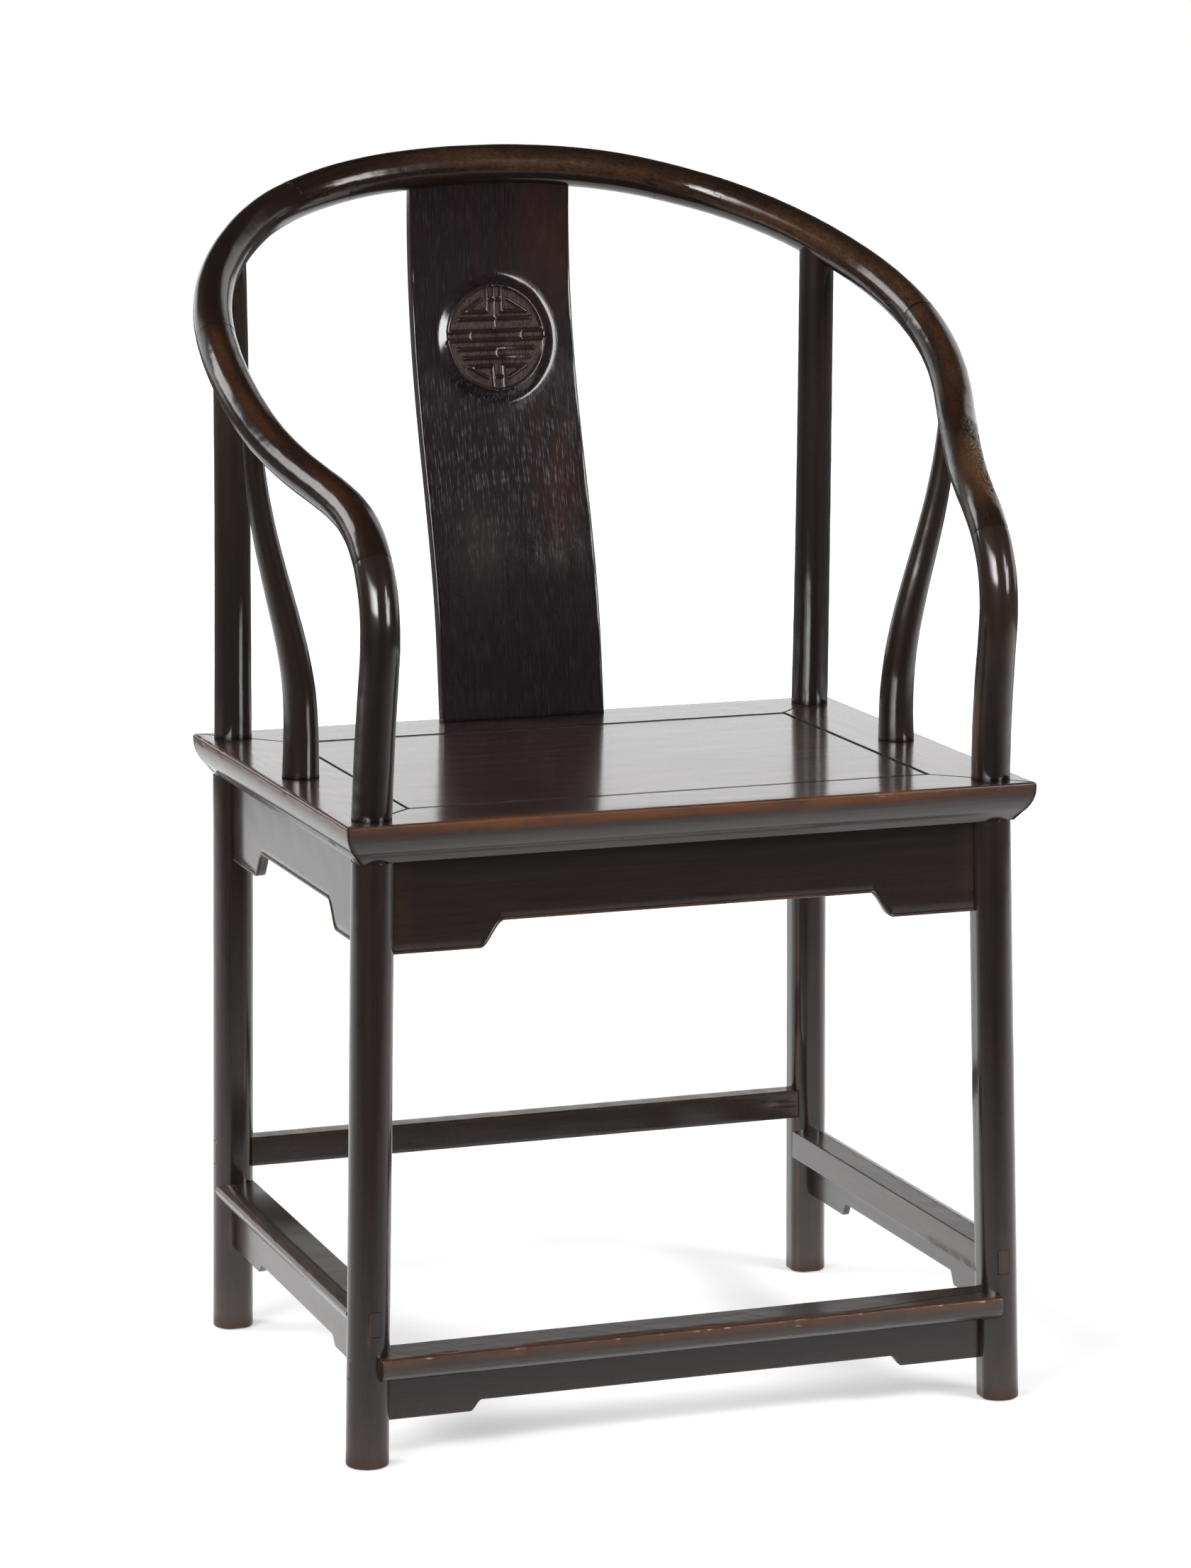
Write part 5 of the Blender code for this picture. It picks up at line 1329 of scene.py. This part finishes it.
# The rear stretcher: a plain eased bar with one split in its front upper arris
def rearStretcher():
    half = legXY("rear", stretchers["rearHeight"])[0] - legs["flat"] + stretchers["rearTongue"]
    along, y, z, where = carried(eased(stretchers["rear"], 0.0010, 0.0026), gridLines(-half, half, 0.005))
    y = y + 0.00008 * ripple(where, 0.05, 91)
    z = z + 0.00008 * ripple(where, 0.05, 92)
    about = stretchers["rearSplit"]
    (splitX, splitZ), (halfX, halfZ) = about["at"], about["half"]
    split = bump(along, splitX, halfX) * bump(z, splitZ, halfZ) * (y < 0.19)
    y = y + about["depth"] * split
    (_, under), (_, top) = stretchers["rear"][:2]
    edge = smooth(0.0022, 0.0, np.minimum(np.abs(z - top), np.abs(z - under)))
    rubbed = np.clip(0.4 * edge * (0.5 + np.clip(ripple(where, 0.03, 93), 0, 1)) + split, 0, 1)
    part = skin(np.stack([along, y, z], -1), np.stack([y, z, along + 2.0], -1), (0.2, rubbed, 0.1))
    addPiece("rearStretcher", [part], "framework", "stretcher_rear")


footRest()
for number, (which, side) in enumerate(sideTurns.items()):
    sideStretcher(which, side, 85 + 3 * number)
rearStretcher()
print("stretchers made")

# Floor, light and camera. A mirrored thing is its strength and then its edges: a direction's dark and lit ends.
studio = {
    "floor": "#fbfbfb",
    "floorSize": 14.0,
    "floorDrop": 0.0004,
    "floorGlow": {"away": (0.8, 3.0), "strength": (0.30, 0.80)},
    "floorMirrored": {"behind": (-1.6, 0.4), "strength": (0.02, 1.35)},
    "floorFading": {"away": (2.5, 3.1), "strength": (1.0, 0.08)},
    "darkSide": 0.015,
    "mirrored": {
        "backdrop": (1.3, ("behind", 0.25, 0.45), ("height", 0.32, 0.18)),
        "leftFlat": (1.3, ("behind", 0.42, 0.58), ("aside", -0.60, -0.76), ("height", 0.90, 0.70)),
        "rightFlat": (1.3, ("behind", 0.50, 0.64), ("aside", 0.30, 0.42), ("height", 0.85, 0.62)),
        "leftBox": (
            19, ("behind", -0.1, -0.2), ("aside", -0.08, -0.18), ("aside", -0.84, -0.30),
            ("height", 0.12, 0.22), ("height", 0.58, 0.44),
        ),
        "rightBox": (
            14, ("behind", -0.1, -0.2), ("aside", 0.62, 0.70), ("aside", 0.80, 0.71),
            ("height", 0.30, 0.38), ("height", 0.56, 0.47),
        ),
        "rightCard": (
            13, ("behind", -0.1, -0.2), ("aside", 0.69, 0.73), ("aside", 0.90, 0.84),
            ("height", 0.02, 0.11), ("height", 0.40, 0.32),
        ),
    },
    "ambient": 0.45,
    "viewHeading": (0.335, 0.942, 0.0),
    "lampAim": (0.0, 0.0, 0.85),
    "lampDistance": 3.8,
    "lamps": {  # turn and rise in degrees from the camera's heading
        "leftBox": {"turn": -38.0, "rise": 24.0, "size": (1.9, 1.3), "power": 70.0, "mirrored": False},
        "rightBox": {"turn": 62.0, "rise": 29.0, "size": (1.5, 1.0), "power": 75.0, "mirrored": False},
        "sideBox": {"turn": -99.0, "rise": 27.0, "size": (1.4, 1.9), "power": 55.0, "mirrored": True},
    },
    "camera": {
        "place": (-1.3946, -3.9469, 1.2508), "aim": (0.3293, 0.9267, -0.1812), "roll": -0.046,
        "lens": 156.4, "sensor": 36.0,
    },
}


# Matt white paper: the camera sees it as a plain white that still takes the soft shadow. The polish
# mirrors it bright behind the chair and fading out in front, where no lamp reaches.
def makeFloor():
    size, drop = studio["floorSize"], -studio["floorDrop"]
    mesh = bpy.data.meshes.new("paleFloor")
    corners = [(-size, -size, drop), (size, -size, drop), (size, size, drop), (-size, size, drop)]
    mesh.from_pydata(corners, [], [(0, 1, 2, 3)])
    floor = bpy.data.objects.new("paleFloor", mesh)
    bpy.context.scene.collection.objects.link(floor)
    paper = bpy.data.materials.new("whitePaperFloor")
    paper.use_nodes = True
    tree = paper.node_tree
    shader = tree.nodes["Principled BSDF"]
    shader.inputs["Base Color"].default_value = linear(studio["floor"])
    shader.inputs["Roughness"].default_value = 0.9
    shader.inputs["Specular IOR Level"].default_value = 0.0
    path = addNode(tree, "ShaderNodeLightPath")
    spot = addNode(tree, "ShaderNodeTexCoord").outputs["Object"]
    settings = {"operation": "DOT_PRODUCT", 1: studio["viewHeading"]}
    places = {
        "away": addNode(tree, "ShaderNodeVectorMath", {"operation": "LENGTH"}, {0: spot}).outputs["Value"],
        "behind": addNode(tree, "ShaderNodeVectorMath", settings, {0: spot}).outputs["Value"],
    }
    strengths = []
    for key, place in (("floorGlow", "away"), ("floorMirrored", "behind"), ("floorFading", "away")):
        (near, far), (first, last) = studio[key][place], studio[key]["strength"]
        settings = {"From Min": near, "From Max": far, "To Min": first, "To Max": last}
        settings["interpolation_type"] = "SMOOTHSTEP"
        strengths.append(addNode(tree, "ShaderNodeMapRange", settings, {"Value": places[place]}).outputs[0])
    settings = {"operation": "MULTIPLY"}
    glow = addNode(tree, "ShaderNodeMath", settings, {0: path.outputs["Is Camera Ray"], 1: strengths[0]})
    tree.links.new(glow.outputs[0], shader.inputs["Emission Strength"])
    shader.inputs["Emission Color"].default_value = (1, 1, 1, 1)
    mirrored = addNode(tree, "ShaderNodeMath", settings, {0: strengths[1], 1: strengths[2]})
    mirrored = addNode(tree, "ShaderNodeEmission", links={"Strength": mirrored.outputs[0]})
    links = {0: path.outputs["Is Glossy Ray"], 1: shader.outputs[0], 2: mirrored.outputs[0]}
    both = addNode(tree, "ShaderNodeMixShader", links=links)
    tree.links.new(both.outputs[0], tree.nodes["Material Output"].inputs["Surface"])
    mesh.materials.append(paper)


# The camera sees plain white and matt surfaces take an even light. Only the polish mirrors the room:
# dark in front and overhead, with a low white backdrop behind, a white flat on either side of it and
# lit boxes and a card in front. Each is the product of its soft edges, and the brightest one shows.
def makeWorld():
    world = bpy.data.worlds.new("paleStudio")
    bpy.context.scene.world = world
    world.cycles.sampling_method = "NONE"
    world.use_nodes = True
    tree = world.node_tree
    background = tree.nodes["Background"]
    background.inputs["Color"].default_value = (1, 1, 1, 1)
    heading = addNode(tree, "ShaderNodeTexCoord").outputs["Generated"]
    ahead = studio["viewHeading"]
    ways = {"behind": ahead, "aside": (ahead[1], -ahead[0], 0.0), "height": (0.0, 0.0, 1.0)}
    for way, aim in ways.items():
        settings = {"operation": "DOT_PRODUCT", 1: aim}
        ways[way] = addNode(tree, "ShaderNodeVectorMath", settings, {0: heading}).outputs["Value"]
    mirrored = None
    for strength, *edges in studio["mirrored"].values():
        share = None
        for way, dark, lit in edges:
            most = 1.0 if share else strength
            settings = {"From Min": dark, "From Max": lit, "To Max": most}
            if lit < dark:
                settings = {"From Min": lit, "From Max": dark, "To Min": most, "To Max": 0.0}
            settings["interpolation_type"] = "SMOOTHSTEP"
            edge = addNode(tree, "ShaderNodeMapRange", settings, {"Value": ways[way]}).outputs[0]
            if share:
                edge = addNode(tree, "ShaderNodeMath", {"operation": "MULTIPLY"}, {0: share, 1: edge}).outputs[0]
            share = edge
        settings, links = {"operation": "MAXIMUM", 1: studio["darkSide"]}, {0: share}
        if mirrored:
            links[1] = mirrored
        mirrored = addNode(tree, "ShaderNodeMath", settings, links).outputs[0]
    path = addNode(tree, "ShaderNodeLightPath")
    settings = {"data_type": "FLOAT", 2: studio["ambient"]}
    seen = addNode(tree, "ShaderNodeMix", settings, {0: path.outputs["Is Glossy Ray"], 3: mirrored}).outputs[0]
    settings = {"data_type": "FLOAT", 3: 1.0}
    seen = addNode(tree, "ShaderNodeMix", settings, {0: path.outputs["Is Camera Ray"], 2: seen}).outputs[0]
    tree.links.new(seen, background.inputs["Strength"])


# Lamps and cameras look along their own -Z. Their right side is level.
def placed(aim, place, roll=0.0):
    right = unit(np.cross(aim, [0.0, 0, 1]))
    upward = np.cross(right, aim)
    turned = np.eye(4)
    turned[:3, 0] = right * math.cos(roll) + upward * math.sin(roll)
    turned[:3, 1] = upward * math.cos(roll) - right * math.sin(roll)
    turned[:3, 2] = -aim
    turned[:3, 3] = place
    return Matrix(turned.tolist())


# Area lamps on a ball round the chair, all aimed at its middle
def makeLamps():
    ahead = np.array(studio["viewHeading"])
    aside = np.array([ahead[1], -ahead[0], 0.0])
    for name, about in studio["lamps"].items():
        lamp = bpy.data.lights.new(name, "AREA")
        lamp.shape = "RECTANGLE"
        lamp.size, lamp.size_y = about["size"]
        lamp.energy = about["power"]
        holder = bpy.data.objects.new(name, lamp)
        holder.visible_glossy = about["mirrored"]
        bpy.context.scene.collection.objects.link(holder)
        turn, rise = math.radians(about["turn"]), math.radians(about["rise"])
        level = math.sin(turn) * aside - math.cos(turn) * ahead
        aim = -unit(math.cos(rise) * level + np.array([0.0, 0.0, math.sin(rise)]))
        holder.matrix_world = placed(aim, np.array(studio["lampAim"]) - studio["lampDistance"] * aim)


def makeCamera():
    about = studio["camera"]
    lens = bpy.data.cameras.new("camera")
    lens.sensor_fit = "HORIZONTAL"
    lens.sensor_width = about["sensor"]
    lens.lens = about["lens"]
    camera = bpy.data.objects.new("camera", lens)
    bpy.context.scene.collection.objects.link(camera)
    camera.matrix_world = placed(unit(np.array(about["aim"])), about["place"], math.radians(about["roll"]))
    bpy.context.scene.camera = camera


makeFloor()
makeWorld()
makeLamps()
makeCamera()
bpy.context.scene.view_settings.view_transform = "Standard"
print("studio made")
